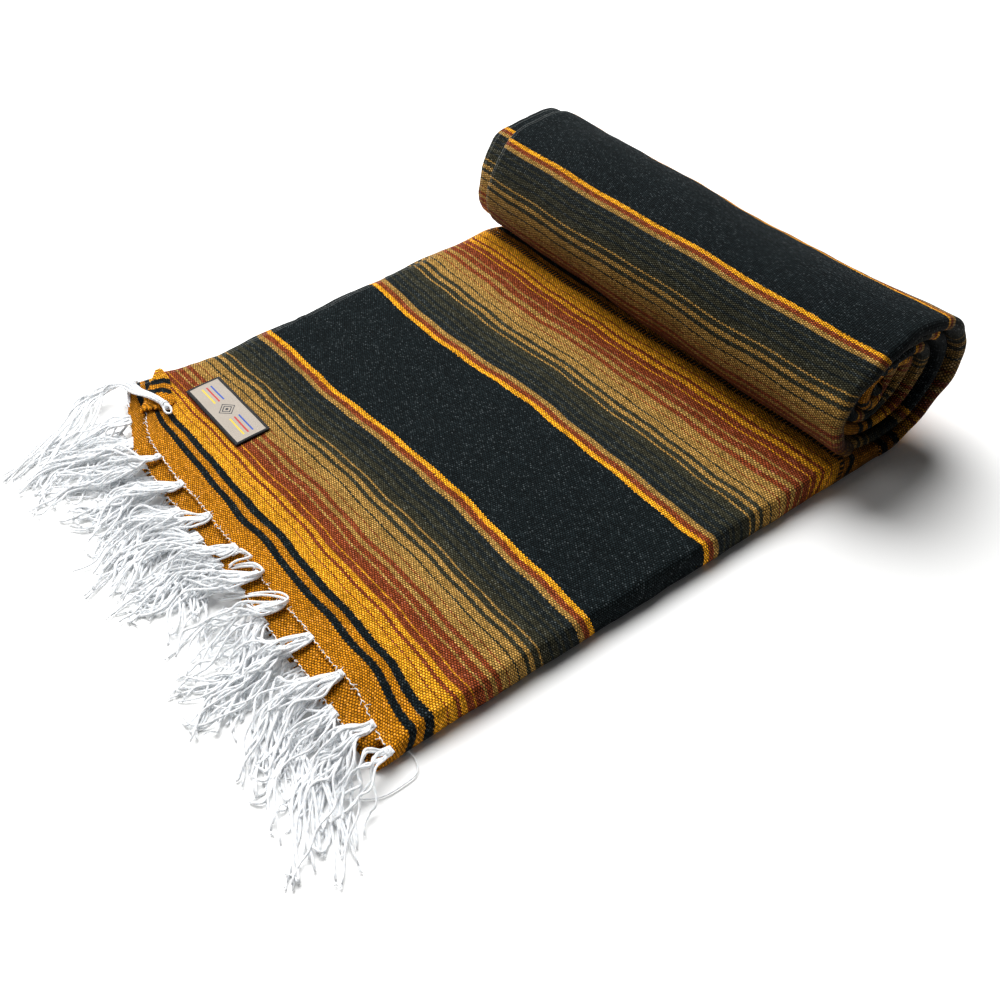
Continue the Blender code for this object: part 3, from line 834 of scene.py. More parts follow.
def innerSection(y, height, selvedge):
    # rows of x, z and distance from the selvedge, in metres; and where its fold's middle stands
    squeeze = height / strip["flatThickness"]
    bottom = strip["cloth"] + innerPly["above"]
    crest = strip["halfWidth"] - strip["cloth"] - innerPly["foldIn"] * squeeze
    topX = np.linspace(selvedge, crest, innerPly["topColumns"])
    bandEnd, bandOver = innerPly["bandTo"]
    band = 1 - ease((y - bandEnd) / bandOver)
    top = topHeight(topX, np.full_like(topX, y)) - strip["cloth"] - innerPly["under"]
    top = np.minimum(top, height - strip["cloth"] - innerPly["underMean"])
    bandZ = strip["bandTop"] - innerPly["edgeDrop"] * (1 - ease(y / innerPly["edgeDropOver"]))
    top = mix(top, bandZ, band * (y < innerPly["bandWithin"]))
    fromSelvedge = ease((topX - selvedge) / innerPly["selvedgeDropOver"])
    top = top - innerPly["selvedgeDrop"] * (1 - fromSelvedge) * (1 - band)
    rows = [(x, z, x - selvedge) for x, z in zip(topX, top)]
    half = (top[-1] - bottom) / 2
    far = crest - selvedge
    for i in range(1, innerPly["foldColumns"]):
        bend = math.pi * i / innerPly["foldColumns"]
        x, z = crest + half * math.sin(bend), bottom + half * (1 + math.cos(bend))
        rows.append((x, z, far + bend * half))
    far += math.pi * half
    stop = -strip["halfWidth"] + innerPly["underStop"]
    for x in np.linspace(crest, stop, innerPly["underColumns"]):
        rise = innerPly["underRise"] * squeeze * (1 - ease((x - stop) / innerPly["underRiseOver"]))
        rows.append((x, bottom + rise, far + crest - x))
    return np.array(rows), bottom + half


def buildInnerPly():
    last = rollMiddle - innerPly["shorter"]
    face, warp, weft = [], [], []
    for y in stationsAlong(last, innerPly):
        selvedge = -strip["halfWidth"] - strip["selvedgeStep"] + ripple(y, innerPly["selvedgeWaves"])
        table, middle = innerSection(y, float(thicknessAt(y)), selvedge)
        x, z = table[:, 0], table[:, 1]
        settle = 1 - ease(y / strip["settled"])
        shift = (-lowerStep(x) - ripple(x, strip["lowerEdgeWaves"])) * settle
        shift = shift + innerPly["underBack"] * (z < middle) * settle
        outward, back = dragLower(x, y + shift)
        x = x + outward
        shift = shift + back
        yHere = y * (rollCentreAt(x) - innerPly["stopShort"]) / last + shift
        face.append(place(x, yHere, z))
        warp.append(y * 1000 - innerPly["wander"] * stripeWander(x, y))
        weft.append(table[:, 2] * 1000)
    attributes = {"warpMm": np.array(warp), "weftMm": np.array(weft)}
    piece = clothShell("innerPlyFlat", np.array(face), attributes, innerWeavePaintedShade)
    return finishPiece(piece, ["flat_inner_plies"])


innerPlyPiece = buildInnerPly()


# The hidden turns, as far as they show at the ends: ply edges at -X, folded edges at +X.
endTurns = {
    "perTurn": 46,
    "foldColumns": 12,
    "flatColumns": 10,
    "sideColumns": 5,
    "edgeFrom": -0.003,
    "foldedIn": 0.010,  # how far in from the roll's +X end the folded edges start
    "looseWaves": ((0.625, 2.7, 0.8), (0.375, 5.9, 2.0)),  # shares of a ribbon's radial wander
    "slideWaves": ((2 / 3, 0.83, 1.1), (1 / 3, 2.1, 0.3)),  # and of its wander across
    "secondFrom": 0.35,  # the second ply's edge shows for a little more than one turn
    "secondTo": 2 * math.pi + 0.4,
    "secondFollows": 5.6,  # radians up to which it keeps to the outer turn's troughs
}
ribbons = (  # where each starts and ends in radians, its section in metres, and how it wanders in mm
    {
        "name": "rollFoldedEdges", "end": "right", "from": -0.25, "to": 0.0, "fold": 0.0037,
        "inset": 0.0008,
        "depth": 0.024, "radial": 0.7, "across": 4.2, "recess": 2.0, "warp": 100.0,
    },
    {
        "name": "rollSecondPly", "end": "left", "from": None, "to": None, "fold": 0.0, "inset": 0.0026,
        "depth": 0.030, "radial": 0.0, "across": 0.0, "recess": 0.0, "warp": 12.0,
    },
    {
        "name": "rollSelvedges", "end": "left", "from": -0.1, "to": 0.0, "fold": 0.0, "inset": 0.0,
        "depth": 0.024, "radial": 0.3, "across": 3.5, "recess": 0.0, "warp": 4.0,
    },
    {
        "name": "rollSelvedgesUnder", "end": "left", "from": 0.3, "to": -0.4, "fold": 0.0, "inset": 0.0026,
        "depth": 0.024, "radial": 0.3, "across": 3.0, "recess": 0.0, "warp": -4.0,
    },
    {
        "name": "rollFoldsLeft", "end": "left", "from": -5.0, "to": -0.5, "fold": 0.0021, "inset": 0.0053,
        "depth": 0.022, "radial": 0.3, "across": 2.6, "recess": 0.0, "warp": -8.0,
    },
)


def ribbonSection(ribbon):
    # for each column the place in X past the end, and the depth under the turn's face
    side = 1 if ribbon["end"] == "right" else -1
    depth, inset, radius = ribbon["depth"], ribbon["inset"], ribbon["fold"]
    if not radius:
        return [(x, inset) for x in np.linspace(endTurns["edgeFrom"], depth, endTurns["flatColumns"])]
    straight = endTurns["sideColumns"]
    points = [(-side * depth * (1 - i / straight), inset) for i in range(straight)]
    for i in range(endTurns["foldColumns"] + 1):
        bend = math.pi * i / endTurns["foldColumns"]
        points.append((side * radius * math.sin(bend), inset + radius * (1 - math.cos(bend))))
    points += [(-side * depth * i / straight, inset + 2 * radius) for i in range(1, straight + 1)]
    return points


def buildRibbon(ribbon):
    full = 2 * math.pi * roll["turns"]
    second = ribbon["from"] is None
    first = endTurns["secondFrom"] if second else roll["end"] + ribbon["from"]
    last = endTurns["secondTo"] if second else full + ribbon["to"]
    perTurn = endTurns["perTurn"] * (2 if second else 1)
    angles = np.linspace(first, last, int((last - first) / (2 * math.pi) * perTurn) + 2)
    share = 1 - endTurns["foldedIn"] / rollLength if ribbon["end"] == "right" else 0.0
    loose = ribbon["radial"] / 1000 * ripple(angles, endTurns["looseWaves"])
    slide = ribbon["across"] / 1000 * ripple(angles, endTurns["slideWaves"])
    slide = slide - ribbon["recess"] / 1000 * (angles - first) / (2 * math.pi)
    warp = arcAlong(share, angles) + ribbon["warp"]
    section = ribbonSection(ribbon)
    face, weft, far = [], [], 0.0
    for i, (out, inset) in enumerate(section):
        if second:
            # its selvedge follows the edge that shows; the rest lies flat under the outer turn
            edge = smoothTable(np.degrees(angles), roll["edgeAngles"], roll["secondEdge"]) / 1000
            out = mix(edge, ribbon["depth"], i / (endTurns["flatColumns"] - 1))
            inset = inset - turnRelief(0.0, angles) * (angles < endTurns["secondFollows"])
        face.append(turnPoint(share, angles, inset + loose, out + slide))
        if i:
            far += math.hypot(section[i][0] - section[i - 1][0], section[i][1] - section[i - 1][1])
        weft.append(np.full_like(angles, far * 1000 + 0.2 + 5 * (not second)))
    grid = np.stack(face, axis=1)
    attributes = {"warpMm": np.broadcast_to(warp[:, None], grid.shape[:2]), "weftMm": np.stack(weft, axis=1)}
    inward = 1 if ribbon["end"] == "left" and ribbon["fold"] else -1
    finish = outerWeave if second else rolledWeavePaintedShade
    piece = clothShell(ribbon["name"], grid, attributes, finish, inward=inward)
    finishPiece(piece)
    return piece


def buildEndTurns():
    pieces = [buildRibbon(ribbon) for ribbon in ribbons]
    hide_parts("roll_hidden_turns")


buildEndTurns()
print("serape: inner plies and roll ends made")


# The corner of the top ply, turned back over itself along a slanting crease. In strip mm.
corner = {
    "rows": 16,
    "columns": 26,
    "lift": 0.0004,
    "crease": ((-201.6, 39.2), (-166.0, 12.4)),
    "length": 47.0,
    "reachAt": (0, 9, 25, 43, 47),  # places along the crease
    "reach": (3.5, 9.5, 14.5, 18.5, 14.0),  # how far the flap comes past it there
    "stripeStart": 37.6,  # where the stripes stand along the flap
    "stripeRate": -0.833,
    "cloth": 0.0019,  # m, pressed a little flatter there
    "bends": (0.25, 0.4, 0.55, 0.7, 0.85),  # rows round the crease, as shares of a half turn
    "crown": 0.0011,  # m that the flap stands up in its middle
    "edgeDrop": 0.0006,  # m that its edge comes down
}


def buildCorner():
    begin, end = [np.array(point) / 1000 for point in corner["crease"]]
    along = (end - begin) / np.linalg.norm(end - begin)
    over = np.array((-along[1], along[0]))  # towards the middle of the blanket
    low = strip["flatThickness"] - strip["cloth"]
    high = strip["flatThickness"] + corner["lift"] + corner["cloth"]
    middle, radius = (low + high) / 2, (high - low) / 2
    steps = [("bend", b) for b in corner["bends"]]
    steps += [("leaf", s) for s in np.linspace(0.06, 1.0, corner["rows"])]
    face, warp, weft = [], [], []
    for kind, value in steps:
        row, across, up = [], [], []
        for i in range(corner["columns"]):
            far = corner["length"] * (0.01 + 0.98 * i / (corner["columns"] - 1))
            reach = float(smoothTable(far, corner["reachAt"], corner["reach"]))
            base = begin + along * far / 1000
            if kind == "bend":
                spot = base - over * (radius * math.sin(math.pi * value) + 0.0004)
                z = middle - radius * math.cos(math.pi * value)
                past = -1.5 * (1 - value)
            else:
                past = reach * value
                spot = base + over * past / 1000
                z = high + corner["crown"] * math.sin(math.pi * value) - corner["edgeDrop"] * value
            row.append(place(spot[0], spot[1], z))
            across.append(corner["stripeStart"] + corner["stripeRate"] * far + 0.5 * math.sin(past * 0.5))
            up.append(reach - past + 8)
        face.append(row)
        warp.append(across)
        weft.append(up)
    attributes = {"warpMm": np.array(warp), "weftMm": np.array(weft)}
    piece = clothShell("cornerTurnBack", np.array(face), attributes, outerWeave, corner["cloth"])
    return finishPiece(piece, ["corner_turn_back"])


cornerPiece = buildCorner()


# The label: a woven patch with an overlocked black edge, and a plain diamond and bars on it.
label = {
    "columns": 80,
    "rows": 28,
    "x": -0.1227,
    "y": 0.0564,
    "length": 0.079,
    "width": 0.0255,
    "thickness": 0.0008,
    "border": 1.8,  # mm
    "ground": "A79D91",
    "edge": "0E0F11",
    "bars": (("2E4FA3", 3.4), ("B6342F", 0.0), ("D9BE3A", -3.4)),  # and mm from the middle
    "barHalf": 0.62,  # mm, half a bar's width
    "barReach": (11.5, 33.0),  # mm from the middle
    "diamond": "2B2E33",
    "diamondHalf": (7.6, 6.4),  # mm along and across
    "diamondRings": ((0.11, 0.11), (0.56, 0.08), (0.93, 0.07)),  # shares of it, and half as wide
    "stitch": 0.9,  # mm from one overlock stitch to the next
    "satin": 0.8,  # mm, coarser than the real 0.2 so that it shows
    "bumpHeight": 0.0002,
    "bumpStrength": 0.7,
    "surface": {"Roughness": 0.62, "Specular IOR Level": 0.3, "Sheen Weight": 0.05},
    "rim": (0.0003, 0.0011, 0.0010),  # m that the border stands up, where, and how wide
}


def damaskLabel():
    # Polyester satin weave: smooth and slightly glossy, its border a dense row of stitches.
    made, tree, shader = newMaterial("polyesterDamaskLabel")
    along = addNode(tree, "Attribute", attribute_name="labelX").outputs["Fac"]
    across = addNode(tree, "Attribute", attribute_name="labelY").outputs["Fac"]
    fromX = addNode(tree, "Math.ABSOLUTE", along)
    fromY = addNode(tree, "Math.ABSOLUTE", across)
    threadX = addNode(tree, "Math.MULTIPLY", along, 2.2)
    threadY = addNode(tree, "Math.MULTIPLY", across, 0.7)
    threadAt = addNode(tree, "CombineXYZ", threadX, threadY, 0.0)
    thread = addNode(tree, "TexNoise", {"Vector": threadAt, "Scale": 1.0}, noise_dimensions="2D")

    # coloured bars to either side of the middle
    colour = linear(label["ground"])
    near, far = label["barReach"]
    pastNear = addNode(tree, "Math.GREATER_THAN", fromX, near)
    inReach = addNode(tree, "Math.MULTIPLY", pastNear, addNode(tree, "Math.LESS_THAN", fromX, far))
    for hexColour, at in label["bars"]:
        inBar = addNode(tree, "Math.COMPARE", across, at, label["barHalf"])
        inBar = addNode(tree, "Math.MULTIPLY", inBar, inReach)
        bar = {"Factor": inBar, 6: colour, 7: linear(hexColour)}
        colour = addNode(tree, "Mix", bar, data_type="RGBA").outputs[2]

    # nested diamonds in the middle
    halfLong, halfWide = label["diamondHalf"]
    shareY = addNode(tree, "Math.DIVIDE", fromY, halfWide)
    spread = addNode(tree, "Math.MULTIPLY_ADD", fromX, 1 / halfLong, shareY)
    drawn = linear(label["diamond"])
    for at, half in label["diamondRings"]:
        ring = addNode(tree, "Math.COMPARE", spread, at, half)
        colour = addNode(tree, "Mix", {"Factor": ring, 6: colour, 7: drawn}, data_type="RGBA").outputs[2]
    tone = addNode(tree, "Math.MULTIPLY_ADD", thread, 0.3, 0.85)
    toned = addNode(tree, "VectorMath.SCALE", {0: colour, "Scale": tone})
    onEnds = addNode(tree, "Math.GREATER_THAN", fromX, label["length"] * 500 - label["border"])
    onSides = addNode(tree, "Math.GREATER_THAN", fromY, label["width"] * 500 - label["border"])
    inEdge = addNode(tree, "Math.MAXIMUM", onEnds, onSides)
    edged = addNode(tree, "Mix", {"Factor": inEdge, 6: toned, 7: linear(label["edge"])}, data_type="RGBA")

    # the overlock stitches lie square to the edge; the satin runs aslant
    runs = addNode(tree, "Mix", {"Factor": onEnds, 2: along, 3: across}, data_type="FLOAT")
    turned = addNode(tree, "Math.MULTIPLY", runs, 2 * math.pi / label["stitch"])
    stitch = addNode(tree, "Math.SINE", turned)
    aslant = addNode(tree, "Math.ADD", along, across)
    aslant = addNode(tree, "Math.MULTIPLY", aslant, 2 * math.pi / label["satin"])
    satin = addNode(tree, "Math.MULTIPLY", addNode(tree, "Math.SINE", aslant), 0.25)
    raised = addNode(tree, "Math.ADD", stitch, 1.5)
    height = addNode(tree, "Mix", {"Factor": inEdge, 2: satin, 3: raised}, data_type="FLOAT")
    bump = {"Strength": label["bumpStrength"], "Distance": label["bumpHeight"], "Height": height}
    finishShader(tree, shader, edged, addNode(tree, "Bump", bump), label["surface"])
    return made


def buildLabel():
    u = np.linspace(-0.5, 0.5, label["columns"]) * label["length"]
    v = np.linspace(-0.5, 0.5, label["rows"]) * label["width"]
    across, along = np.meshgrid(u, v)
    x, y = label["x"] + across, label["y"] + along
    edge = np.minimum(label["length"] / 2 - np.abs(across), label["width"] / 2 - np.abs(along))
    high, at, wide = label["rim"]
    rim = high * np.exp(-((edge - at) / wide) ** 2)
    z = topHeight(x, y) + label["thickness"] + rim
    face = place(x, y, z)[::-1]
    attributes = {"labelX": across[::-1] * 1000, "labelY": along[::-1] * 1000}
    piece = clothShell("labelPatch", face, attributes, damaskLabel(), label["thickness"])
    return finishPiece(piece, ["label_patch"])


labelPiece = buildLabel()
print("serape: corner and label made")


# Yarn: every strand is a thin tube along a smooth path.
def smoothPath(points, count):
    # a curve through its points, drawn out past the first and the last
    points = np.array(points, float)
    padded = np.concatenate([2 * points[:1] - points[1:2], points, 2 * points[-1:] - points[-2:-1]])
    spans = len(points) - 1
    at = np.linspace(0, spans, count)
    i = np.minimum(at.astype(int), spans - 1)
    t = (at - i)[:, None]
    a, b, c, d = padded[i], padded[i + 1], padded[i + 2], padded[i + 3]
    slow, fast = 2 * a - 5 * b + 4 * c - d, 3 * b - a - 3 * c + d
    return 0.5 * (2 * b + (c - a) * t + slow * t * t + fast * t ** 3)


def placeMm(points, lowest=0.0):
    # a route in strip mm to the part's frame, kept above the floor
    return [place(x / 1000, y / 1000, max(lowest, z / 1000)) for x, y, z in points]


def tubes(name, strands, sides=5):
    # strands: (path, radius) pairs, where radius is a number or one per point
    verts, faces, alongs, arounds = [], [], [], []
    base = 0
    turn = np.arange(sides) * 2 * math.pi / sides
    for path, radius in strands:
        count = len(path)
        radius = np.broadcast_to(radius, (count,))
        tangent = np.gradient(path, axis=0)
        tangent /= np.maximum(np.linalg.norm(tangent, axis=1, keepdims=True), 1e-12)
        side = np.cross(tangent[0], (0.31, 0.17, 0.93))
        steps = np.linalg.norm(np.diff(path, axis=0), axis=1)
        far = np.concatenate([[0.0], np.cumsum(steps)]) * 1000
        for k in range(count):
            side = side - tangent[k] * side.dot(tangent[k])
            side = side / max(np.linalg.norm(side), 1e-9)
            up = np.cross(tangent[k], side)
            ring = path[k] + radius[k] * (np.cos(turn)[:, None] * side + np.sin(turn)[:, None] * up)
            verts.append(ring)
            alongs += [far[k]] * sides
            arounds += list(turn)
            if k:
                for s in range(sides):
                    n = (s + 1) % sides
                    low, high = base + (k - 1) * sides, base + k * sides
                    faces.append((low + s, low + n, high + n, high + s))
        faces.append(tuple(base + s for s in reversed(range(sides))))
        faces.append(tuple(base + (count - 1) * sides + s for s in range(sides)))
        base += count * sides
    return makeObject(name, np.concatenate(verts), faces, {"alongMm": alongs, "around": arounds}, whiteCotton)


# The fringe. Each ply's warp ends leave its edge in groups of about twelve and fall over one another.
fringe = {
    "yarn": 0.00080,  # radius
    "frayed": 0.00034,  # radius of the fibres at a cut end
    "knotWrap": 0.9,  # the yarn pulled thinner round a knot
    "strandPoints": 34,
    "lowest": 0.0010,  # on the floor
    "wave": 0.0040,  # how far a strand strays
    "waveTurns": (1.3, 2.4, 4.1),
    "waveScale": (1.0, 0.6, 0.3),  # in X, Y and Z
    "reach": (0.62, 1.06),  # the strands' lengths, against the way to the tip
    "stations": (0.22, 0.45, 0.72, 1.0),  # points on that way
    "jitter": (0.0024, 0.0015),  # m, across and along
    "swing": (0.004, 0.012),  # how far a whole tassel sways
    "strayShare": 0.35,  # share of the strands that stray from it
    "stray": 0.016,
    "curledShare": 0.25,  # and of those that curl at the end
    "curl": (0.003, 0.007),
    "frayedShare": 0.35,
    "frayedLength": (0.002, 0.004),
    "knotRadius": 0.0021,
    "knotHeading": (-0.2, -1.0, -0.05),
    "knotHalf": 0.00078,  # from its middle to either wrap
    "knotBack": -0.0016,  # past the edge
    "lowerRoot": 0.0052,  # height of the lower plies' edge
    "loopWave": 0.0010,
    "loopPoints": 44,
    "upper": (  # root across the strip, where its tips lie (across, past the edge) and its sideways bow. mm
        {"x": -114, "tip": (-141, -60), "bow": -8, "strands": 11},
        {"x": -78, "tip": (-96, -66), "bow": -9, "strands": 12},
        {"x": -37, "tip": (-54, -70), "bow": -10, "strands": 12},
        {"x": 0, "tip": (-16, -70), "bow": -10, "strands": 12},
        {"x": 31, "tip": (22, -62), "bow": -13, "strands": 10},
        {"x": 63, "tip": (60, -64), "bow": -13, "strands": 10},
        {"x": 96, "tip": (104, -70), "bow": -9, "strands": 12},
        {"x": 132, "tip": (150, -66), "bow": -7, "strands": 13},
        {"x": 170, "tip": (200, -70), "bow": -7, "strands": 14},
        {"x": 190, "tip": (222, -60), "bow": -4, "strands": 7},
    ),
    "middle": (
        {"x": -168, "tip": (-176, -66), "bow": -8, "strands": 13},
        {"x": -146, "tip": (-166, -84), "bow": -6, "strands": 17},
        {"x": -118, "tip": (-138, -86), "bow": -6, "strands": 17},
        {"x": -88, "tip": (-106, -76), "bow": -7, "strands": 17},
        {"x": -58, "tip": (-70, -80), "bow": -7, "strands": 17},
        {"x": -28, "tip": (-40, -84), "bow": -8, "strands": 17},
        {"x": 2, "tip": (-8, -84), "bow": -12, "strands": 17},
        {"x": 32, "tip": (18, -56), "bow": -16, "strands": 7},
        {"x": 62, "tip": (76, -76), "bow": 4, "strands": 16},
        {"x": 92, "tip": (106, -82), "bow": -8, "strands": 17},
        {"x": 122, "tip": (146, -72), "bow": -7, "strands": 17},
        {"x": 148, "tip": (176, -72), "bow": -7, "strands": 17},
        {"x": 168, "tip": (210, -78), "bow": -5, "strands": 16},
    ),
    "lower": (
        {"x": -160, "tip": (-166, -58), "bow": -3, "strands": 12},
        {"x": -130, "tip": (-140, -60), "bow": -4, "strands": 13},
        {"x": -100, "tip": (-108, -64), "bow": -4, "strands": 13},
        {"x": -70, "tip": (-80, -62), "bow": -5, "strands": 13},
        {"x": -40, "tip": (-46, -64), "bow": -5, "strands": 13},
        {"x": -10, "tip": (-14, -66), "bow": -5, "strands": 13},
        {"x": 18, "tip": (8, -50), "bow": -9, "strands": 6},
        {"x": 48, "tip": (56, -40), "bow": -3, "strands": 6},
        {"x": 78, "tip": (88, -60), "bow": -5, "strands": 12},
        {"x": 106, "tip": (126, -62), "bow": -4, "strands": 13},
        {"x": 134, "tip": (158, -58), "bow": -4, "strands": 13},
        {"x": 160, "tip": (188, -62), "bow": -4, "strands": 13},
    ),
    "levels": {  # half width of the root, of the tips, and how deep the strands pile, in m
        "upper": {"root": 0.0022, "spread": 0.0115, "pile": 0.0085},
        "middle": {"root": 0.0046, "spread": 0.0125, "pile": 0.0070},
        "lower": {"root": 0.0130, "spread": 0.0150, "pile": 0.0030},
    },
    "strayStrand": (  # it lies by itself past the near corner
        (184, 4, 1.2), (194, 5, 1.2), (203, 1, 1.2), (205, -8, 1.2), (204, -22, 1.2), (195, -35, 1.2),
        (185, -46, 1.2),
    ),
    "strayYarn": 0.0005,  # radius
    "loops": (  # yarn that doubles back over the top ply
        {"x": 31, "long": 27, "wide": 4.2},
        {"x": 63, "long": 33, "wide": 4.4},
        {"x": 14, "long": 16, "wide": 3.4},
    ),
}


def strandPath(points, dice, wave, count=None):
    # a strand through its points, with the slow waves that yarn keeps from the loom
    count = count or fringe["strandPoints"]
    path = smoothPath(points, count)
    share = np.linspace(0, 1, count)
    grow = ease(share * 1.8)
    for axis, scale in enumerate(fringe["waveScale"]):
        for turns in fringe["waveTurns"]:
            size = wave * scale / turns * dice.uniform(0.4, 1.4)
            path[:, axis] += size * grow * np.sin(2 * math.pi * (turns * share + dice.random()))
    path[:, 2] = np.maximum(path[:, 2], fringe["yarn"])
    return path


def strandRadius(path, dice):
    radius = np.full(len(path), fringe["yarn"] * dice.uniform(0.85, 1.15))
    radius[-2:] *= (0.92, 0.7)
    return radius


def frayedEnd(path, dice):
    # fibres that spread where a strand was cut
    ends = []
    tip, before = path[-1], path[-4]
    heading = (tip - before) / max(np.linalg.norm(tip - before), 1e-6)
    for _ in range(2):
        reach = dice.uniform(*fringe["frayedLength"])
        swing = np.array([dice.uniform(-1, 1), dice.uniform(-1, 1), dice.uniform(-0.2, 0.5)]) * 0.5
        end = tip + (heading + swing) * reach
        middle = tip + (heading + swing * 0.3) * reach * 0.5
        end[2], middle[2] = max(end[2], 0.0004), max(middle[2], 0.0004)
        ends.append((smoothPath([path[-2], middle, end], 4), fringe["frayed"]))
    return ends


def knotRings(centre, heading, radius, dice):
    # the wraps of an overhand knot round its strands
    heading = np.array(heading, float)
    heading /= np.linalg.norm(heading)
    side = np.cross(heading, (0, 0, 1))
    side /= np.linalg.norm(side)
    up = np.cross(side, heading)
    rings = []
    for along in (-fringe["knotHalf"], fringe["knotHalf"]):
        tilt = dice.uniform(-0.8, 0.8)
        middle = np.array(centre) + heading * along
        angle = np.linspace(0, 2 * math.pi, 15)
        ring = middle + radius * (np.cos(angle)[:, None] * side + 0.8 * np.sin(angle)[:, None] * up)
        ring = ring + (tilt * radius * np.sin(angle))[:, None] * heading
        rings.append((ring, fringe["yarn"] * fringe["knotWrap"]))
    return rings


def topEdgeHeight(x, y=0.0):
    return float(topHeight(np.float64(x), np.float64(y)))


def tasselStrands(tassel, level, dice):
    sizes = fringe["levels"][level]
    x0, bow = tassel["x"] / 1000, tassel["bow"] / 1000
    tipX, tipY = tassel["tip"][0] / 1000, tassel["tip"][1] / 1000
    step = float(lowerStep(x0))
    phase, swing = dice.random(), dice.uniform(*fringe["swing"])
    strands = []
    for i in range(tassel["strands"]):
        lean = (i + 0.5) / tassel["strands"] * 2 - 1 + dice.uniform(-0.25, 0.25)
        depth = dice.random()
        rootX = x0 + lean * sizes["root"]
        if level == "upper":
            # out of the top ply's edge, and over the edge under it
            edgeZ = topEdgeHeight(rootX, 0.001)
            reached = float(cornerReach(rootX))
            overX = mix(rootX, tipX, 0.10) + bow * 0.5 + lean * 0.0042
            points = [
                (rootX, 0.0010 - reached, edgeZ + 0.0003),
                (rootX + lean * 0.0014, -0.0042 - reached, edgeZ - 0.0004 + 0.0012 * depth),
                (overX, -step - 0.001, strip["bandTop"] + 0.0020 + 0.0024 * depth),
            ]
            reachStart, zStart = -step - 0.001, strip["bandTop"] + 0.003
        else:
            z = strip["bandTop"] - 0.0006 if level == "middle" else fringe["lowerRoot"]
            outward, back = dragLower(rootX, -step) if level == "middle" else (0.0, 0.0)
            rootY = -step + float(back) + (0.0006 if level == "middle" else 0.0030)
            rootX = rootX + float(outward)
            points = [
                (rootX, rootY, z),
                (mix(rootX, tipX, 0.04) + bow * 0.15, rootY - 0.0035, z + 0.0004 - 0.0010 * depth),
            ]
            reachStart, zStart = rootY - 0.0035, z
        startX = points[-1][0]
        reach = dice.uniform(*fringe["reach"])
        endX = tipX + lean * sizes["spread"] * dice.uniform(0.5, 1.2) + dice.uniform(-0.004, 0.004)
        strays = dice.random() < fringe["strayShare"]
        stray = dice.uniform(-fringe["stray"], fringe["stray"]) if strays else 0.0
        aside, onward = fringe["jitter"]
        for share in fringe["stations"]:
            x = mix(startX, endX, share) + (bow * 1.1 + stray) * math.sin(math.pi * share)
            x += swing * math.sin(2 * math.pi * (share * 0.9 + phase)) * share
            x += dice.uniform(-aside, aside)
            y = mix(reachStart, tipY * reach, share) + dice.uniform(-onward, onward)
            z = zStart * (1 - share) ** 2.2 + sizes["pile"] * depth * (1 - 0.6 * share)
            points.append((x, y, max(fringe["lowest"], z)))
        if dice.random() < fringe["curledShare"]:
            turn = dice.choice((-1, 1))
            x, y, z = points[-1]
            x += turn * dice.uniform(*fringe["curl"])
            points.append((x, y - dice.uniform(-0.001, 0.005), 0.0012))
        path = strandPath([place(*point) for point in points], dice, fringe["wave"])
        strands.append((path, strandRadius(path, dice)))
        if dice.random() < fringe["frayedShare"]:
            strands += frayedEnd(path, dice)
    if level == "upper":
        knot = place(x0, fringe["knotBack"] - float(cornerReach(x0)), topEdgeHeight(x0) + 0.0002)
        strands += knotRings(knot, fringe["knotHeading"], fringe["knotRadius"], dice)
    return strands


def loopStrands(loop, dice):
    # yarn that runs back from the pile, turns on the top ply and returns
    knotX = loop["x"] / 1000
    knotZ = topEdgeHeight(knotX)
    along, across = np.array((-0.78, -0.62)), np.array((0.62, -0.78))
    strands = []
    for i in range(2):
        wide = (loop["wide"] + 1.5 * i) / 1000
        far = (loop["long"] - 3 * i) / 1000
        stations = (
            (far + 0.016, -wide * 1.6, -0.0140), (far, -wide * 1.3, -0.0075), (far * 0.5, -wide, -0.0006),
            (0.003, -wide * 0.8, 0.0020), (-0.0042, 0.0, 0.0026), (0.002, wide * 0.8, 0.0018),
            (far * 0.4, wide, -0.0010), (far * 0.8, wide * 1.4, -0.0070), (far + 0.010, wide * 2.8, -0.0140),
            (far + 0.014, wide * 5.0, -0.0165),
        )
        points = []
        for out, side, up in stations:
            spot = (knotX, 0.0) + along * out + across * side
            points.append(place(spot[0], spot[1], max(0.0012, knotZ + up + 0.0012 * i)))
        path = strandPath(points, dice, fringe["loopWave"], fringe["loopPoints"])
        strands.append((path, strandRadius(path, dice)))
    return strands


def buildFringe(name, level, seed, nodes):
    dice = random.Random(seed)
    strands = []
    for tassel in fringe[level]:
        strands += tasselStrands(tassel, level, dice)
    if level == "upper":
        for loop in fringe["loops"]:
            strands += loopStrands(loop, dice)
        strayPath = smoothPath(placeMm(fringe["strayStrand"]), fringe["strandPoints"])
        strands.append((strayPath, fringe["strayYarn"]))
    piece = tubes(name, strands)
    return finishPiece(piece, nodes)


upperFringe = buildFringe("fringeTopPly", "upper", 11, [])
middleFringe = buildFringe("fringeSecondPly", "middle", 23, ["fringe"])
buildFringe("fringeLowerPlies", "lower", 37, [])
print("serape: fringe laid")


# The binding thread along each fringed edge, with its short loose ends.
binding = {
    "radius": 0.00036,
    "pitch": 0.0043,  # from one wrap to the next
    "wiggle": 0.00035,
    "strayWaves": ((0.0003, 611, 0.0),),
    "step": 0.0011,  # from one point of its path to the next
    "lengths": (14, 34),  # in those steps
    "fuzz": 0.00022,  # radius of the loose ends
    "fuzzEvery": 0.0036,
    "fuzzMissing": 0.3,  # share of them
    "edges": (("top", -0.166, 0.186), ("second", -0.196, 0.172)),
}


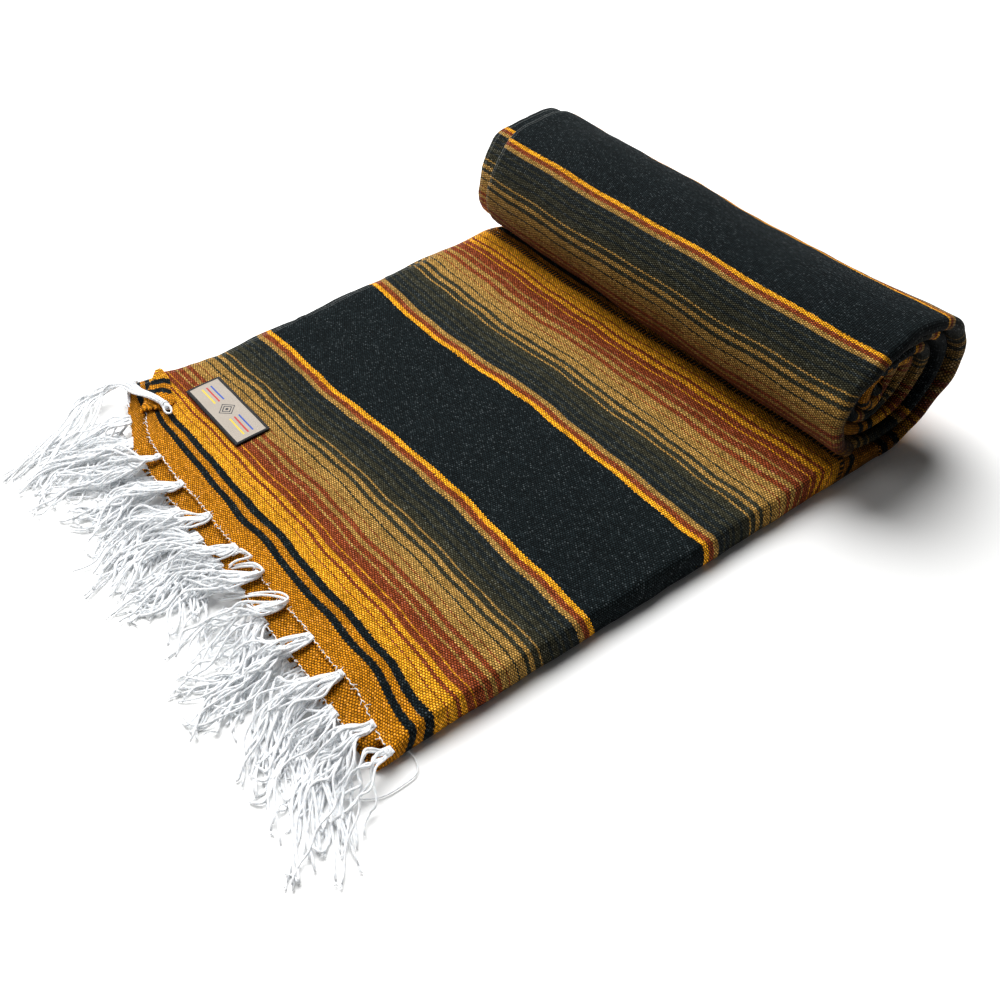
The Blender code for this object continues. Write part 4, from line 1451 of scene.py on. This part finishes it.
def buildBinding():
    dice = random.Random(5)
    strands = []
    for level, low, high in binding["edges"]:
        xs = np.arange(low, high, binding["step"])
        turn = 2 * math.pi * xs / binding["pitch"]
        wiggle = binding["wiggle"] * np.sin(turn) + ripple(xs, binding["strayWaves"])
        if level == "top":
            settle = ripple(xs, strip["topEdgeWaves"]) - cornerReach(xs)
            y = 0.0002 + wiggle + settle + dragTop(xs, np.zeros_like(xs))
            z = topHeight(xs, np.full_like(xs, 0.0005)) - 0.0001
            across = xs
        else:
            y = -lowerStep(xs) - ripple(xs, strip["lowerEdgeWaves"]) - 0.0002 + wiggle
            outward, back = dragLower(xs, y)
            across, y = xs + outward, y + back
            z = np.full_like(xs, strip["bandTop"] - 0.0012)
        z = z + 0.0003 * np.cos(turn)
        path = place(across, y, z)
        # in lengths, with short gaps between them
        start = 0
        while start < len(xs) - 6:
            end = min(len(xs), start + dice.randint(*binding["lengths"]))
            strands.append((path[start:end], binding["radius"] * dice.uniform(0.8, 1.2)))
            start = end + dice.choice((0, 0, 1, 2))
        for at in np.arange(low, high, binding["fuzzEvery"]):
            if dice.random() < binding["fuzzMissing"]:
                continue
            nearest = int((at - low + dice.uniform(-0.002, 0.002)) / binding["step"])
            base = path[min(len(xs) - 1, max(0, nearest))]
            swing = [dice.uniform(-0.003, 0.003), dice.uniform(-0.003, 0.003), dice.uniform(0.0, 0.0010)]
            swing = np.array(swing)
            middle = base + swing * 0.5 + (0, 0, 0.0003)
            strands.append((smoothPath([base, middle, base + swing], 5), binding["fuzz"]))
    piece = tubes("edgeBinding", strands, sides=4)
    return finishPiece(piece)


bindingPiece = buildBinding()


# The turned corner's own tassel: from its knot over the flap, past the far corner and down. Strip mm.
cornerTassel = {
    "strands": 14,
    "route": (
        (-149, 25, 23.0), (-158, 24, 24.0), (-170, 21, 23.8), (-187, 17, 20.5), (-202, 15, 18.0),
        (-214, 9, 14.0),
    ),
    "ends": (
        ((-222, -2, 9), (-221, -14, 6), (-203, -31, 4), (-197, -50, 3), (-180, -84, 1.5)),
        ((-223, -3, 8), (-219, -18, 5), (-206, -36, 4), (-186, -58, 3), (-168, -72, 1.5)),
        ((-220, 0, 10), (-216, -12, 7), (-198, -28, 5), (-190, -44, 4), (-176, -62, 1.5)),
        ((-224, -2, 9), (-224, -18, 6), (-210, -36, 3), (-200, -56, 3), (-188, -88, 1.5)),
        ((-218, 2, 10), (-212, -8, 8), (-192, -22, 6), (-180, -40, 4), (-164, -58, 1.5)),
    ),
    "dropped": (  # two strands that fall short of it
        (-200, 22, 19.0), (-204, 18, 17.5), (-194, 11, 12.5), (-180, 7, 10.5), (-172, -4, 7.0),
        (-168, -20, 4.0),
    ),
    "knotLoop": (
        (-156, 24, 24.5), (-148, 26, 24.0), (-143.5, 24, 22.6), (-147, 21.5, 22.6), (-156, 23, 24.0),
    ),
    "knot": (-154, 24.5, 23.6),
    "knotHeading": (-1.0, -0.15, 0.0),
    "knotRadius": 0.0022,
    "jitter": (4, 4, 0.6),  # mm
    "wave": 0.0022,
    "points": 46,
}


def buildCornerTassel():
    dice = random.Random(3)
    strands = []
    for i in range(cornerTassel["strands"]):
        end = cornerTassel["ends"][i % len(cornerTassel["ends"])]
        ring = 2 * math.pi * i / cornerTassel["strands"]
        points = []
        for k, (x, y, z) in enumerate(cornerTassel["route"]):
            wide = 1.2 + 0.5 * k
            aside = wide * math.cos(ring)
            points.append((x + 0.3 * aside, y + aside, z + 0.9 * math.sin(ring)))
        for spot in end:
            points.append([at + dice.uniform(-by, by) for at, by in zip(spot, cornerTassel["jitter"])])
        points = placeMm(points, fringe["lowest"])
        path = strandPath(points, dice, cornerTassel["wave"], cornerTassel["points"])
        strands.append((path, strandRadius(path, dice)))
        if i % 3 == 0:
            strands += frayedEnd(path, dice)
    for shift in (0.0, 1.8):
        dropped = [(x + shift, y - shift, z) for x, y, z in cornerTassel["dropped"]]
        strands.append((smoothPath(placeMm(dropped), 26), fringe["yarn"]))
    strands.append((smoothPath(placeMm(cornerTassel["knotLoop"]), 24), fringe["yarn"]))
    knot = placeMm([cornerTassel["knot"]])[0]
    strands += knotRings(knot, cornerTassel["knotHeading"], cornerTassel["knotRadius"], dice)
    piece = tubes("cornerTassel", strands)
    return finishPiece(piece, ["corner_tassel"])


cornerTasselPiece = buildCornerTassel()
print("serape: binding and corner tassel made")


# The room: a pale painted floor, a big soft lamp high up behind the roll and a weak one by the fringe.
studio = {
    "floor": "FAFAF9",
    "floorRoughness": 0.9,
    "floorHalf": 6.0,
    "floorBelow": 0.0002,
    "world": "FFFFFF",
    "worldStrength": 0.07,
    "camera": {
        "place": (0.5862, -0.3154, 0.5560), "azimuth": 60.17, "elevation": 42.29, "roll": -8.2,
        "lens": 46.76, "sensor": 36.0, "near": 0.05,
    },
    "lamps": (
        {"name": "softKey", "at": (-1.65, 0.82, 2.65), "size": 3.7, "power": 228.0, "aim": (0.0, 0.0, 0.0)},
        {"name": "softFill", "at": (-0.5, -1.3, 0.9), "size": 1.0, "power": 5.5, "aim": (-0.1, -0.1, 0.0)},
    ),
}


def buildStudio():
    mesh = bpy.data.meshes.new("floor")
    half = studio["floorHalf"]
    corners = [(-half, -half, 0), (half, -half, 0), (half, half, 0), (-half, half, 0)]
    mesh.from_pydata(corners, [], [(0, 1, 2, 3)])
    floor = bpy.data.objects.new("floor", mesh)
    floor.location.z = -studio["floorBelow"]
    bpy.context.scene.collection.objects.link(floor)
    paint, _, shader = newMaterial("paintedStudioFloor")
    shader.inputs["Base Color"].default_value = linear(studio["floor"])
    shader.inputs["Roughness"].default_value = studio["floorRoughness"]
    mesh.materials.append(paint)
    for lamp in studio["lamps"]:
        data = bpy.data.lights.new(lamp["name"], "AREA")
        data.shape = "DISK"
        data.size = lamp["size"]
        data.energy = lamp["power"]
        made = bpy.data.objects.new(lamp["name"], data)
        made.location = lamp["at"]
        aim = Vector(lamp["aim"]) - Vector(lamp["at"])
        made.rotation_euler = aim.to_track_quat("-Z", "Y").to_euler()
        bpy.context.scene.collection.objects.link(made)
    world = bpy.data.worlds.new("paleRoom")
    world.use_nodes = True
    background = world.node_tree.nodes["Background"]
    background.inputs["Color"].default_value = linear(studio["world"])
    background.inputs["Strength"].default_value = studio["worldStrength"]
    bpy.context.scene.world = world
    bpy.context.scene.view_settings.view_transform = "Standard"


def buildCamera():
    view = studio["camera"]
    data = bpy.data.cameras.new("camera")
    data.lens = view["lens"]
    data.sensor_width = view["sensor"]
    data.clip_start = view["near"]
    made = bpy.data.objects.new("camera", data)
    turn, tilt = math.radians(view["azimuth"]), math.radians(view["elevation"])
    back = Vector((math.sin(turn) * math.cos(tilt), -math.cos(turn) * math.cos(tilt), math.sin(tilt)))
    aim = (-back).to_track_quat("-Z", "Y").to_matrix()
    aim = aim @ Matrix.Rotation(math.radians(view["roll"]), 3, "Z")
    made.matrix_world = Matrix.Translation(Vector(view["place"])) @ aim.to_4x4()
    bpy.context.scene.collection.objects.link(made)
    bpy.context.scene.camera = made


buildStudio()
buildCamera()
print("serape: floor, lamps and camera set")

print("serape: finished")
